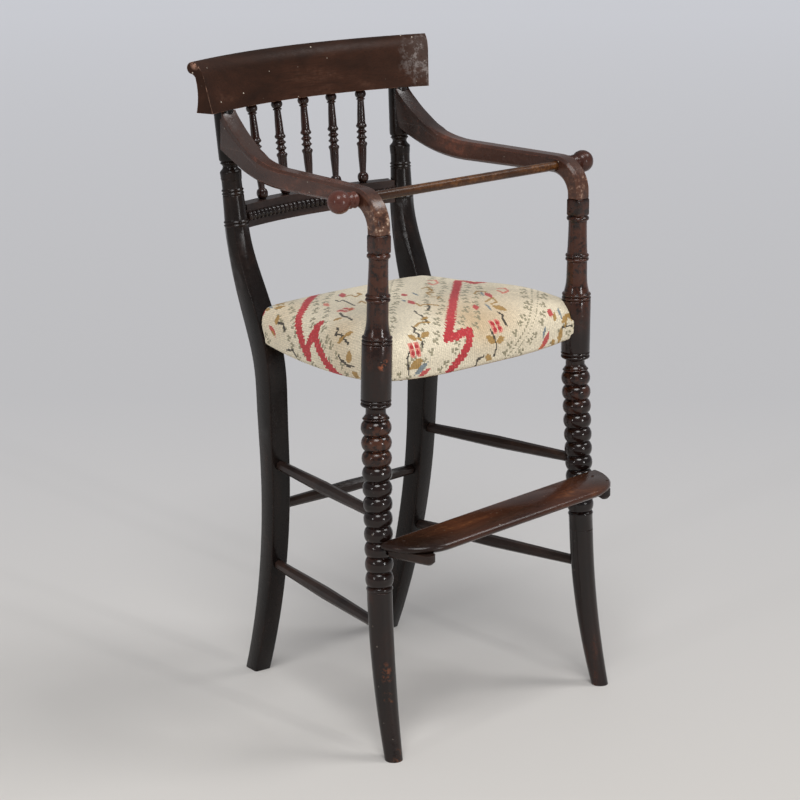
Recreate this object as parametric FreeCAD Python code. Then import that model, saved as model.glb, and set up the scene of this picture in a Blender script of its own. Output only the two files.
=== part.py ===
import FreeCAD, Part
import math
import os

V = FreeCAD.Vector

# A child's high chair of turned and sawn wood with a stuffed seat. Millimetres, +Z up,
# the front faces -Y. Pieces are drawn for the right-hand side and mirrored to the left.

# Fits
glue_gap = 0.1
soft_gap = 0.3
running_gap = 0.4

# Front legs: one turning from the arm joint to the bend, then a sabre foot
arm_joint = V(178, -137.5, 685)
leg_neck = V(181.5, -134.5, 458)
leg_bend = V(186.8, -147, 222)
leg_foot = V(194, -182, 0)
leg_foot_radius = 11.8
leg_ankle_radius = 15.2
leg_plain_radius = 16.4
leg_ring_radius = 17.2
sabre_start = 0.28
sabre_cuts = 4
bend_ring_share = 0.6
top_block_height = 24
top_block_width = 24
top_block_depth = 22
block_rounding = 3.5
block_chamfer = 2
neck_radius = 13.0
neck_step = 0.6
neck_lap = 6
seat_block_radius = 19.6
seat_block_low = 474
seat_block_high = 546
leg_ring_height = 10
leg_ring_swell = 1.2
vase_waist_radius = 14.2
vase_waist_z = 572
vase_foot_radius = 17.2
vase_top_radius = 12.2
double_ring_z = 604.5
double_ring_radius = 14.7
leg_collar_height = 6
leg_collar_radius = 15
cone_ring_radius = 17.4
cone_ring_height = 4
neck_length = 3
bobbin_count = 11
bobbin_low = 227.2
bobbin_high = 446.5
bobbin_radius_low = 18.2
bobbin_radius_high = 19.8
bobbin_groove = 14.0
bead_cuts = 4

# Rear posts: sabre legs that sweep back above the seat and end in ringed turnings
rear_foot_half = 122
rear_splay = 0.043
rear_line = 124.5
rear_foot_sweep = 61.5
rear_knee_z = 335
back_sweep = 58
sweep_low_z = 440
sweep_high_z = 660
rear_foot_width = 25
rear_foot_depth = 27
rear_knee_width = 30
rear_knee_depth = 31.5
rear_seat_depth = 39
rear_seat_z = 520
rear_corner = 2.5
rear_foot_cuts = 6
rear_knee_cuts = 3
rear_round_cuts = 4
post_radius = 16.4
post_ring_z = 648
post_lean = 0.1
post_ring_height = 9
post_ring_swell = 0.8
post_middle_ring_z = 686
post_middle_radius = 14.4
post_upper_ring_z = 707
post_upper_radius = 13.6
post_cove_radius = 10.3
post_collar_z = 723
post_collar_height = 5
post_collar_radius = 12
post_shoulder_z = 742
post_shoulder_radius = 12.8
post_bulb_radius = 13.6
post_top_radius = 10.6
post_tenon_radius = 7.5
post_tenon_length = 14

# Back: crest rail, cross rail, bead moulding and spindles on arcs seen in plan
back_radius = 560
crest_z = 800
crest_half_width = 193.5
crest_front = 207
crest_height = 70
crest_foot_thickness = 25
crest_waist_thickness = 16
crest_roll_radius = 8.5
crest_roll_back = 30
crest_brow_back = 13.3
crest_brow_up = 50.4
crest_bend_back = 20.6
crest_bend_up = 63.2
crest_nape = 4
crest_waist_back = 6.6
crest_waist_up = 26.6
cross_rail_z = 640
cross_rail_height = 31
cross_rail_depth = 19
cross_rail_front = 192
cross_rail_tenon = 8
rail_cope_gap = 1.2
bead_band_low = 10
bead_band_height = 10
bead_band_sink = 3
bead_proud = 3.5
spindle_top_pitch = 49
spindle_foot_pitch = 45.5
spindle_half_count = 2
spindle_ball_radius = 7.8
spindle_ball_height = 14
spindle_shaft_radius = 5.9
spindle_waist_radius = 4.2
spindle_ring_radius = 8.5
spindle_ring_low = 50
spindle_ring_pitch = 9.8
spindle_ring_count = 4
spindle_ring_height = 7
spindle_tenon_radius = 4
spindle_tenon_length = 8

# Arms: sawn scrolls from the crest rail to the front legs
arm_width = 24
arm_easing = 3.5
arm_top_z = 739
arm_under_rear_z = 712
arm_under_front_z = 717
arm_front_depth = 22
arm_rear_x = 156
arm_rear_y = 190
arm_rise_angle = 45
arm_rise_y = 134.6
arm_rise_radius = 185
arm_under_angle = 22
arm_under_y = 109.6
arm_under_radius = 255
arm_knee_radius = 46
arm_crook_radius = 28
arm_dowel_radius = 4
arm_dowel_length = 36
arm_rear_dowel_drop = 32
arm_rear_dowel_length = 28

# Safety bar through both arms
bar_y = -107
bar_z = 726
bar_radius = 6.2
bar_end_radius = 5.4
knob_radius = 15
knob_neck_radius = 8
knob_collar_radius = 10.6
knob_neck_length = 15
knob_collar_count = 2
knob_facets = 8
knob_socket_depth = 16

# Footrest board on two pegged brackets, a little lower on the left
footrest_z = 300
footrest_cant = 2.3
footrest_thickness = 10
footrest_half_width = 199
footrest_width = 64
footrest_front_half = 138
footrest_edge = 3.5
footrest_bulge_out = 0.72
footrest_bulge_front = 0.66
bracket_tip_half = 165
bracket_width = 17
bracket_height = 13
bracket_length = 64
bracket_peg_radius = 5
bracket_peg_depth = 20

# Stretchers, shaved to eight sides and tapered to round ends
upper_stretcher_z = 321
lower_stretcher_z = 173
rear_stretcher_z = 258
stretcher_sides = 8
stretcher_radius = 8.8
stretcher_end_radius = 7
stretcher_peg_radius = 6
stretcher_peg_depth = 12

# Seat frame and stuffed seat
rail_low_z = 487
rail_height = 38
rail_thickness = 20
rail_front_y = -131
rail_rear_y = 134
side_rail_inset = 8
rail_tenon_thickness = 9
rail_tenon_height = 26
rail_tenon_depth = 10
side_tenon_depth = 7
web_thickness = 1.2
web_width = 46
web_gap = 0.2
web_long_count = 3
web_long_pitch = 74
web_cross_count = 3
web_cross_pitch = 72
web_landing = 14
hessian_thickness = 1
cover_profile = [(3, 2), (8, 13), (10, 25), (9.5, 35), (6, 44), (-2, 52.5),
                 (-16, 60.5), (-40, 67.5), (-75, 72)]
cover_rear_swell = 3
cover_thickness = 2.5


def line(start, end):
    return Part.LineSegment(start, end).toShape()


def arc(start, middle, end):
    return Part.Arc(start, middle, end).toShape()


def mirrored(shape):
    return shape.mirror(V(0, 0, 0), V(1, 0, 0))


def mirror_point(point):
    return V(-point.x, point.y, point.z)


def fused(shapes):
    return shapes[0].fuse(shapes[1:]).removeSplitter()


def largest(shape):
    return max(shape.Solids, key=lambda solid: solid.Volume)


def between(low, high, share):
    return low + (high - low) * share


def smooth_step(share):
    share = min(max(share, 0), 1)
    return share * share * (3 - 2 * share)


def along(shape, start, end):
    """Stands a shape drawn about Z on the line from start to end."""
    turn = FreeCAD.Rotation(V(0, 0, 1), end - start)
    placed = shape.copy()
    placed.Placement = FreeCAD.Placement(start, turn)
    return placed


def rod(start, end, radius):
    return along(Part.makeCylinder(radius, (end - start).Length), start, end)


def block(low, high):
    return Part.makeBox(high.x - low.x, high.y - low.y, high.z - low.z, low)


def ring(low, high, radius, groove):
    """A sharp ring of a turning, between two heights."""
    return [(groove, low), (radius, (low + high) / 2), (groove, high)]


def bead(low, high, radius, groove):
    """A round bead of a turning, a parabola taken in straight stretches."""
    shares = [cut / bead_cuts for cut in range(bead_cuts + 1)]
    return [(groove + (radius - groove) * 4 * t * (1 - t), between(low, high, t)) for t in shares]


def ring_pair(low, height, radius, swell):
    """Two rings side by side that stand out of a turning of this radius."""
    middle = low + height / 2
    rings = ring(low, middle, radius + swell, radius - swell)
    return rings + ring(middle, low + height, radius + swell, radius - swell)


def turning(base, steps):
    """Turned solid about Z, from radii and heights, with the base height at its origin."""
    outline = [V(0, 0, steps[0][1] - base)]
    for radius, z in steps + [(0, steps[-1][1])]:
        point = V(radius, 0, z - base)
        if not point.isEqual(outline[-1], glue_gap / 10):
            outline.append(point)
    profile = Part.Face(Part.makePolygon(outline + outline[:1]))
    return profile.revolve(V(0, 0, 0), V(0, 0, 1), 360)


def circle_wire(centre, direction, radius):
    circle = Part.makeCircle(radius)
    circle.Placement = FreeCAD.Placement(centre, FreeCAD.Rotation(V(0, 0, 1), direction))
    return Part.Wire(circle)


def eased_rectangle(centre, width, depth, corner, turn):
    """Level rectangle with corners eased by two short flats, turned about Z by an angle in degrees."""
    diagonal = corner * (1 - math.sqrt(0.5))
    points = []
    for sx, sy in ((1, -1), (1, 1), (-1, 1), (-1, -1)):
        on_x = V(sx * (width / 2 - corner), sy * depth / 2, 0)
        on_y = V(sx * width / 2, sy * (depth / 2 - corner), 0)
        middle = V(sx * (width / 2 - diagonal), sy * (depth / 2 - diagonal), 0)
        points += [on_x, middle, on_y] if sx * sy < 0 else [on_y, middle, on_x]
    wire = Part.makePolygon(points + points[:1])
    wire.Placement = FreeCAD.Placement(centre, FreeCAD.Rotation(V(0, 0, 1), turn))
    return wire


def rounded_path(points, radii):
    """Straight runs joined by tangent arcs, one radius for each inner point."""
    edges = []
    start = points[0]
    for before, corner, after, radius in zip(points, points[1:], points[2:], radii):
        into = (corner - before).normalize()
        out = (after - corner).normalize()
        turn = into.getAngle(out)
        reach = radius * math.tan(turn / 2)
        enter = corner - into * reach
        leave = corner + out * reach
        inward = (out - into).normalize()
        middle = corner + inward * (radius / math.cos(turn / 2) - radius)
        edges += [line(start, enter), arc(enter, middle, leave)]
        start = leave
    edges.append(line(start, points[-1]))
    return edges


# Places that several pieces share

seat_middle_z = rail_low_z + rail_height / 2
seat_leg_share = (seat_middle_z - leg_neck.z) / (arm_joint.z - leg_neck.z)
seat_leg = leg_neck + (arm_joint - leg_neck) * seat_leg_share


def lower_leg_axis(z):
    """Axis of the bobbins and of the sabre foot at a height."""
    if z >= leg_bend.z:
        return leg_bend + (leg_neck - leg_bend) * ((z - leg_bend.z) / (leg_neck.z - leg_bend.z))
    share = 1 - z / leg_bend.z
    bent = sabre_start * share + (1 - sabre_start) * share ** 2
    place = leg_bend + (leg_foot - leg_bend) * bent
    return V(place.x, place.y, z)


def rear_axis(z):
    """Middle of the rear post at a height, up to its ringed turning."""
    foot = max(0, rear_knee_z - z) / rear_knee_z
    back = smooth_step((z - sweep_low_z) / (sweep_high_z - sweep_low_z))
    return V(rear_foot_half + rear_splay * z, rear_line + rear_foot_sweep * foot ** 2 + back_sweep * back, z)


post_foot = rear_axis(post_ring_z)
post_top = post_foot + V(rear_splay, post_lean, 1) * (crest_z - post_ring_z)
side_rail_front = V(seat_leg.x - side_rail_inset, seat_leg.y, rail_low_z)
rear_seat = rear_axis(seat_middle_z)
side_rail_rear = V(rear_seat.x, rear_seat.y, rail_low_z)
side_run = (side_rail_rear - side_rail_front).normalize()
side_out = V(side_run.y, -side_run.x, 0)
post_turn = math.degrees(math.atan2(-side_run.x, side_run.y))
crest_centre = V(0, crest_front - back_radius, 0)
cross_centre = V(0, cross_rail_front - back_radius, 0)
arm_toe = math.degrees(math.atan2(arm_joint.x - arm_rear_x, arm_rear_y - arm_joint.y))
bracket_root = lower_leg_axis(footrest_z - footrest_thickness - bracket_height / 2)
bracket_reach = bracket_length + bobbin_radius_high
bracket_toe = math.degrees(math.asin((bracket_root.x - bracket_tip_half) / bracket_reach))
footrest_turn = FreeCAD.Rotation(V(0, 1, 0), -footrest_cant)
footrest_back = lower_leg_axis(footrest_z).y - between(bobbin_radius_low, bobbin_radius_high, 0.5) - soft_gap


def canted(shape):
    """Tips a piece of the footrest about the middle of its board."""
    pivot = V(0, 0, footrest_z)
    tipped = shape.copy()
    tip = FreeCAD.Placement(pivot - footrest_turn.multVec(pivot), footrest_turn)
    tipped.Placement = tip.multiply(shape.Placement)
    return tipped


# Rear posts

def rear_leg(grow):
    """Sawn lower part: sabre leg with square corners that become round above the seat."""
    runs = [(0, rear_knee_z, rear_foot_cuts), (rear_knee_z, rear_seat_z, rear_knee_cuts),
            (rear_seat_z, post_ring_z, rear_round_cuts)]
    heights = [between(low, high, number / count) for low, high, count in runs for number in range(count)]
    heights.append(post_ring_z)
    sections = []
    for z in heights:
        up = min(z / rear_knee_z, 1)
        width = between(rear_foot_width, rear_knee_width, up)
        depth = between(rear_foot_depth, rear_knee_depth, up)
        if z > rear_knee_z:
            seat = min((z - rear_knee_z) / (rear_seat_z - rear_knee_z), 1)
            depth = between(rear_knee_depth, rear_seat_depth, seat)
        rounding = smooth_step((z - rear_seat_z) / (post_ring_z - rear_seat_z))
        width = between(width, 2 * post_radius, rounding)
        depth = between(depth, 2 * post_radius, rounding)
        corner = between(rear_corner, post_radius - post_ring_swell, rounding)
        sections.append(eased_rectangle(rear_axis(z), width + 2 * grow, depth + 2 * grow,
                                        corner + grow, post_turn))
    return Part.makeLoft(sections, True, False)


room_reach = arm_joint.x * 2
crest_room = block(V(-room_reach, 0, crest_z - glue_gap), V(room_reach, room_reach, crest_z * 2))


def post_turning(grow):
    """Ringed upper part of a rear post, with the shoulder that the arm butts against."""
    ring_low = post_ring_z - post_ring_height / 2
    inside = post_radius - post_ring_swell
    steps = [(inside, ring_low - post_ring_height), (inside, ring_low)]
    steps += ring_pair(ring_low, post_ring_height, post_radius, post_ring_swell)
    steps += [(post_middle_radius, post_middle_ring_z)]
    steps += ring_pair(post_middle_ring_z, post_ring_height, post_middle_radius, post_ring_swell)
    steps += [(post_upper_radius, post_upper_ring_z)]
    upper_top = post_upper_ring_z + post_ring_height / 2
    steps += ring(post_upper_ring_z, upper_top, post_upper_radius + post_ring_swell, post_upper_radius)
    steps += [(post_cove_radius, post_collar_z - post_ring_swell)]
    collar_top = post_collar_z + post_collar_height
    steps += ring(post_collar_z, collar_top, post_collar_radius, post_cove_radius)
    steps += [(post_cove_radius, collar_top + post_ring_swell)]
    steps += [(post_shoulder_radius, between(collar_top, post_shoulder_z, 0.5))]
    steps += [(post_bulb_radius, post_shoulder_z), (post_top_radius, crest_z + post_ring_height)]
    grown = [(radius + grow, z) for radius, z in steps]
    return along(turning(post_foot.z, grown), post_foot, post_top).cut(crest_room)


def post_tenon(grow):
    run = (post_top - post_foot).normalize()
    root = post_top - run * post_tenon_radius
    return rod(root, post_top + run * (post_tenon_length + grow), post_tenon_radius + grow)


rear_post = fused([rear_leg(0), post_turning(0), post_tenon(0)])


# Front legs

def leg_upper():
    """Turned part above the neck: seat block, vases and rings."""
    low, high = seat_block_low, seat_block_high
    height, swell = leg_ring_height, leg_ring_swell
    rings = seat_block_radius - swell
    cove_top = low - height
    block_low = arm_joint.z - top_block_height
    collar_low = block_low - leg_collar_height
    steps = [(neck_radius, leg_neck.z - neck_lap), (neck_radius, leg_neck.z + neck_length)]
    steps += ring_pair(cove_top, height, rings, swell)
    steps += [(seat_block_radius, low), (seat_block_radius, high)]
    steps += ring_pair(high, height, rings, swell)
    steps += [(vase_foot_radius, high + height), (vase_waist_radius, vase_waist_z)]
    steps += ring_pair(double_ring_z - height / 2, height, double_ring_radius, swell)
    steps += ring(collar_low, block_low, leg_collar_radius, vase_top_radius)
    steps += [(vase_top_radius - swell, block_low + block_rounding)]
    return along(turning(leg_neck.z, steps), leg_neck, arm_joint)


def leg_bobbins():
    """Turned part below the neck: cone ring and a row of bobbins."""
    pitch = (bobbin_high - bobbin_low) / bobbin_count
    steps = [(leg_plain_radius, leg_bend.z), (leg_ring_radius, between(leg_bend.z, bobbin_low, bend_ring_share))]
    for number in range(bobbin_count):
        low = bobbin_low + pitch * number
        radius = between(bobbin_radius_low, bobbin_radius_high, number / (bobbin_count - 1))
        steps += bead(low, low + pitch, radius, bobbin_groove)
    steps += [(cone_ring_radius, bobbin_high + cone_ring_height / 2)]
    steps += [(cone_ring_radius - leg_ring_swell, bobbin_high + cone_ring_height)]
    steps += [(neck_radius - neck_step, leg_neck.z), (neck_radius - neck_step, leg_neck.z + neck_length)]
    return along(turning(leg_bend.z, steps), leg_bend, leg_neck)


def leg_sabre():
    """Bent plain foot, drawn in towards the floor."""
    sections = [circle_wire(leg_bend, leg_neck - leg_bend, leg_plain_radius)]
    for number in range(1, sabre_cuts):
        share = number / sabre_cuts
        z = leg_bend.z * (1 - share)
        slope = lower_leg_axis(z + 1) - lower_leg_axis(z - 1)
        swell = 4 * share * (1 - share) * (leg_ankle_radius - (leg_plain_radius + leg_foot_radius) / 2)
        radius = between(leg_plain_radius, leg_foot_radius, share) + swell
        sections.append(circle_wire(lower_leg_axis(z), slope, radius))
    sections.append(circle_wire(leg_foot, V(0, 0, 1), leg_foot_radius))
    return Part.makeLoft(sections, True, False)


def leg_top_block():
    """Square block at the head of the leg, which carries the arm."""
    low = V(-top_block_width / 2, -top_block_depth / 2, -top_block_height)
    high = V(top_block_width / 2, top_block_depth / 2, 0)
    body = block(low, high)
    upright = [edge for edge in body.Edges if abs(edge.BoundBox.ZLength - top_block_height) < glue_gap]
    body = body.makeFillet(block_rounding, upright)
    under = [edge for edge in body.Edges if edge.BoundBox.ZMax < low.z + glue_gap]
    body = body.makeChamfer(block_chamfer, under)
    body.Placement = FreeCAD.Placement(arm_joint, FreeCAD.Rotation(V(0, 0, 1), arm_toe))
    return body


front_leg = fused([leg_sabre(), leg_bobbins(), leg_upper(), leg_top_block()])


# Seat rails

def rail_prism(start, end, inner, outer, low, high):
    """Upright board from start to end, between two distances to the outside of that line."""
    run = (end - start).normalize()
    out = V(run.y, -run.x, 0)
    corners = [start + out * outer, end + out * outer, end + out * inner, start + out * inner]
    corners = [V(corner.x, corner.y, low) for corner in corners]
    return Part.Face(Part.makePolygon(corners + corners[:1])).extrude(V(0, 0, high - low))


def rail(start, end):
    half = rail_thickness / 2
    return rail_prism(start, end, -half, half, rail_low_z, rail_low_z + rail_height)


def rail_tenon(start, end, grow):
    half = rail_tenon_thickness / 2 + grow
    low = seat_middle_z - rail_tenon_height / 2 - grow
    return rail_prism(start, end, -half, half, low, low + rail_tenon_height + 2 * grow)


leg_block_space = rod(leg_neck, arm_joint, seat_block_radius + glue_gap)
post_space = rear_leg(glue_gap)
front_rail_end = V(seat_leg.x, rail_front_y, rail_low_z)
front_reach = math.sqrt(seat_block_radius ** 2 - (rail_front_y - seat_leg.y) ** 2)
front_tenon_end = front_rail_end - V(front_reach - rail_tenon_depth, 0, 0)
side_reach = math.sqrt(seat_block_radius ** 2 - side_rail_inset ** 2)
side_tenon_front = side_rail_front + side_run * (side_reach - side_tenon_depth)
side_tenon_rear = side_rail_rear - side_run * (rear_seat_depth / 2 - rail_tenon_depth)
rear_rail_end = V(rear_seat.x, rail_rear_y, rail_low_z)
rear_tenon_end = rear_rail_end - V(rear_knee_width / 2 - rail_tenon_depth, 0, 0)

front_room = rail_prism(mirror_point(front_rail_end), front_rail_end, -rail_thickness / 2 - glue_gap,
                        rail_thickness, rail_low_z, rail_low_z + rail_height)
front_spaces = Part.makeCompound([leg_block_space, mirrored(leg_block_space)])
post_spaces = Part.makeCompound([post_space, mirrored(post_space)])


def front_tenon(grow):
    return rail_tenon(mirror_point(front_tenon_end) - V(grow, 0, 0), front_tenon_end + V(grow, 0, 0), grow)


def rear_tenon(grow):
    return rail_tenon(mirror_point(rear_tenon_end) - V(grow, 0, 0), rear_tenon_end + V(grow, 0, 0), grow)


def side_tenon(grow):
    return rail_tenon(side_tenon_front - side_run * grow, side_tenon_rear + side_run * grow, grow)


front_body = largest(rail(mirror_point(front_rail_end), front_rail_end).cut(front_spaces))
rear_body = largest(rail(mirror_point(rear_rail_end), rear_rail_end).cut(post_spaces))
seat_rail_front = fused([front_body, front_tenon(0)])
seat_rail_rear = fused([rear_body, rear_tenon(0)])
side_body = rail(side_rail_front, side_rail_rear).cut(Part.makeCompound([leg_block_space, post_space]))
side_body = largest(side_body.cut(front_room))
seat_rail_side = fused([side_body, side_tenon(0)]).cut(seat_rail_front)


# Stretchers

def octagon(centre, direction, radius):
    half_turns = [math.pi / stretcher_sides * (2 * number + 1) for number in range(stretcher_sides)]
    points = [V(radius * math.cos(angle), radius * math.sin(angle), 0) for angle in half_turns]
    wire = Part.makePolygon(points + points[:1])
    wire.Placement = FreeCAD.Placement(centre, FreeCAD.Rotation(V(0, 0, 1), direction))
    return wire


def stretcher(start, end, start_reach, end_reach):
    """Shaved bar between two axes, with round pegs that go past the surfaces at the two reaches."""
    run = (end - start).normalize()
    left = start + run * start_reach
    right = end - run * end_reach
    middle = (left + right) * 0.5
    radii = (stretcher_end_radius, stretcher_radius, stretcher_end_radius)
    sections = [octagon(place, run, radius) for place, radius in zip((left, middle, right), radii)]
    return fused([Part.makeLoft(sections, True, True), stretcher_peg(start, end, start_reach, end_reach, 0)])


def stretcher_peg(start, end, start_reach, end_reach, grow):
    run = (end - start).normalize()
    first = start + run * (start_reach - stretcher_peg_depth - grow)
    last = end - run * (end_reach - stretcher_peg_depth - grow)
    return rod(first, last, stretcher_peg_radius + grow)


upper_line = (lower_leg_axis(upper_stretcher_z), rear_axis(upper_stretcher_z),
              bobbin_radius_high + soft_gap, rear_knee_depth / 2 + soft_gap)
lower_line = (lower_leg_axis(lower_stretcher_z), rear_axis(lower_stretcher_z),
              leg_plain_radius + soft_gap, rear_knee_depth / 2 + soft_gap)
rear_end = rear_axis(rear_stretcher_z)
rear_reach = rear_knee_width / 2 + soft_gap
rear_bar = (mirror_point(rear_end), rear_end, rear_reach, rear_reach)


# Footrest

def bracket_place(shape, side):
    """Sets a shape drawn along -Y from the leg on one side, toed in under the board and canted with it."""
    turned = shape.copy()
    turn = FreeCAD.Placement(V(bracket_root.x, bracket_root.y, 0), FreeCAD.Rotation(V(0, 0, 1), -bracket_toe))
    turned.Placement = turn.multiply(shape.Placement)
    return canted(turned if side > 0 else mirrored(turned))


def bracket_peg(side, grow):
    z = footrest_z - footrest_thickness - bracket_height / 2
    reach = bobbin_radius_high + soft_gap
    return bracket_place(rod(V(0, -reach - glue_gap, z), V(0, bracket_peg_depth - reach + grow, z),
                             bracket_peg_radius + grow), side)


def bracket(side):
    """Flat arm under the board, rounded at its nose and pegged into the leg."""
    top = footrest_z - footrest_thickness
    half = bracket_width / 2
    root = -bobbin_radius_high - soft_gap
    nose = root - bracket_length
    corners = [V(-half, root, top), V(half, root, top), V(half, nose + half, top), V(-half, nose + half, top)]
    outline = [line(corners[3], corners[0]), line(corners[0], corners[1]), line(corners[1], corners[2]),
               arc(corners[2], V(0, nose, top), corners[3])]
    body = Part.Face(Part.Wire(outline)).extrude(V(0, 0, -bracket_height))
    under = [edge for edge in body.Edges
             if edge.BoundBox.ZMax < top - bracket_height + glue_gap and edge.BoundBox.YLength > half / 2]
    body = body.makeChamfer(footrest_edge, under)
    return fused([bracket_place(body, side), bracket_peg(side, 0)])


def footboard():
    """Board with a straight back, round ends and a worn front edge."""
    back = footrest_back
    front = back - footrest_width
    corner = V(footrest_half_width, back, footrest_z)
    shoulder = V(footrest_front_half, front, footrest_z)
    bulge = V(between(footrest_front_half, footrest_half_width, footrest_bulge_out),
              between(back, front, footrest_bulge_front), footrest_z)
    outline = [line(mirror_point(corner), corner), arc(corner, bulge, shoulder),
               line(shoulder, mirror_point(shoulder)),
               arc(mirror_point(shoulder), mirror_point(bulge), mirror_point(corner))]
    body = Part.Face(Part.Wire(outline)).extrude(V(0, 0, -footrest_thickness))
    long_edges = [edge for edge in body.Edges
                  if edge.BoundBox.ZLength < glue_gap and edge.BoundBox.YMin < back - glue_gap]
    return canted(body.makeChamfer(footrest_edge, long_edges))


# Arms

def arm_blank():
    """Sawn scroll with rounded edges, drawn at the front joint and turned to meet the post."""
    front = -arm_front_depth / 2
    back = arm_front_depth / 2
    base = arm_joint.z + glue_gap
    reach = arm_rear_y - arm_joint.y + post_bulb_radius
    rise = math.radians(arm_rise_angle)
    under = math.radians(arm_under_angle)
    rise_corner = V(0, arm_rise_y - arm_joint.y, arm_top_z)
    under_corner = V(0, arm_under_y - arm_joint.y, arm_under_rear_z)
    top_end = rise_corner + V(0, 1, math.tan(rise)) * (reach - rise_corner.y)
    under_end = under_corner + V(0, 1, math.tan(under)) * (reach - under_corner.y)
    top = [top_end, rise_corner, V(0, front, arm_top_z), V(0, front, base)]
    bottom = [V(0, back, base), V(0, back, arm_under_front_z), under_corner, under_end]
    edges = rounded_path(top, (arm_rise_radius, arm_knee_radius))
    edges.append(line(top[-1], bottom[0]))
    edges += rounded_path(bottom, (arm_crook_radius, arm_under_radius))
    edges.append(line(under_end, top_end))
    half = arm_width / 2
    body = Part.Face(Part.Wire(edges)).extrude(V(arm_width, 0, 0))
    body.translate(V(-half, 0, 0))
    long_edges = [edge for edge in body.Edges
                  if edge.BoundBox.XLength < glue_gap
                  and edge.BoundBox.ZMax > base + glue_gap
                  and edge.BoundBox.YMin < reach - glue_gap]
    body = body.makeChamfer(arm_easing, long_edges)
    toe = FreeCAD.Rotation(V(0, 0, 1), arm_toe)
    body.Placement = FreeCAD.Placement(V(arm_joint.x, arm_joint.y, 0), toe)
    return body


def front_dowel(grow):
    half = V(0, 0, arm_dowel_length / 2 + grow)
    return rod(arm_joint - half, arm_joint + half, arm_dowel_radius + grow)


def rear_dowel(grow):
    height = crest_z - arm_rear_dowel_drop
    axis = post_foot + V(rear_splay, post_lean, 1) * (height - post_foot.z)
    return rod(axis + V(0, grow, 0), axis - V(0, arm_rear_dowel_length + grow, 0), arm_dowel_radius + grow)


bar_hole = rod(V(0, bar_y, bar_z), V(room_reach, bar_y, bar_z), bar_radius + running_gap)
arm = largest(arm_blank().cut(post_turning(glue_gap)).cut(post_tenon(glue_gap)))
arm = arm.cut(crest_room).cut(bar_hole).cut(front_dowel(glue_gap)).cut(rear_dowel(glue_gap))


# Safety bar, seated just outside the arms' outer faces

toe = math.radians(arm_toe)
arm_face = arm_joint.x - math.tan(toe) * (bar_y - arm_joint.y) + arm_width / 2 / math.cos(toe)
knob_seat = arm_face + math.tan(toe) * knob_collar_radius + soft_gap


def knob_turning():
    """Ball knob with a ringed neck, standing on its seat at zero height."""
    collar = knob_neck_length / knob_collar_count
    steps = []
    for number in range(knob_collar_count):
        steps += ring(number * collar, (number + 1) * collar, knob_collar_radius, knob_neck_radius)
    start = math.asin(knob_neck_radius / knob_radius)
    head = knob_neck_length + knob_radius * math.cos(start)
    for number in range(1, knob_facets):
        angle = between(start, math.pi, number / knob_facets)
        steps += [(knob_radius * math.sin(angle), head - knob_radius * math.cos(angle))]
    return turning(0, steps)


right_seat = V(knob_seat, bar_y, bar_z)
left_seat = mirror_point(right_seat)
end_knob = along(knob_turning(), right_seat, right_seat + V(1, 0, 0))
knob_socket = rod(right_seat - V(1, 0, 0), right_seat + V(knob_socket_depth + soft_gap, 0, 0),
                  bar_end_radius + running_gap)
bar_end_knob = end_knob.cut(knob_socket)
bar_body = rod(left_seat - V(knob_socket_depth, 0, 0), right_seat, bar_radius)
bar_end = rod(right_seat - V(1, 0, 0), right_seat + V(knob_socket_depth, 0, 0), bar_end_radius)
safety_bar = fused([along(knob_turning(), left_seat, left_seat - V(1, 0, 0)), bar_body, bar_end])


# Back

def swept_back(face, half_angle, centre):
    """Sweeps an upright section on the arc of the back, equally to both sides."""
    start = face.copy()
    start.rotate(centre, V(0, 0, 1), -half_angle)
    return start.revolve(centre, V(0, 0, 1), 2 * half_angle)


def crest_section():
    """Flared foot, leaning face and a roll along the top rear edge."""
    foot = V(0, crest_front, crest_z)

    def at(back, up):
        return foot + V(0, back, up)

    roll_z = crest_height - crest_roll_radius
    brow = at(crest_brow_back, crest_brow_up)
    front = at(0, 0)
    roll_top = at(crest_roll_back, crest_height)
    roll_back = at(crest_roll_back + crest_roll_radius, roll_z)
    roll_under = at(crest_roll_back, roll_z - crest_roll_radius)
    nape = roll_under - V(0, crest_nape, crest_nape)
    heel = at(crest_foot_thickness, 0)
    waist = at(crest_waist_back + crest_waist_thickness, crest_waist_up)
    bend = at(crest_bend_back, crest_bend_up)
    edges = [line(front, brow), arc(brow, bend, roll_top), arc(roll_top, roll_back, roll_under),
             line(roll_under, nape), arc(nape, waist, heel), line(heel, front)]
    return Part.Face(Part.Wire(edges))


def cross_section():
    """Rail section with a sunk band for the bead moulding."""
    foot = V(0, cross_rail_front, cross_rail_z)
    lean = V(0, post_lean, 1)
    band_low = foot + lean * bead_band_low
    band_high = foot + lean * (bead_band_low + bead_band_height)
    sink = V(0, bead_band_sink, 0)
    depth = V(0, cross_rail_depth, 0)
    top = foot + lean * cross_rail_height
    corners = [foot, band_low, band_low + sink, band_high + sink, band_high, top, top + depth, foot + depth]
    return Part.Face(Part.makePolygon(corners + corners[:1]))


def bead_section():
    """Half-round moulding that fills the sunk band and stands proud of it."""
    lean = V(0, post_lean, 1)
    face = V(0, cross_rail_front, cross_rail_z)
    sink = V(0, bead_band_sink - glue_gap, 0)
    low = face + lean * (bead_band_low + glue_gap)
    high = face + lean * (bead_band_low + bead_band_height - glue_gap)
    proud = (low + high) * 0.5 - V(0, bead_proud, 0)
    edges = [line(low + sink, low), arc(low, proud, high), line(high, high + sink),
             line(high + sink, low + sink)]
    return Part.Face(Part.Wire(edges))


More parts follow.
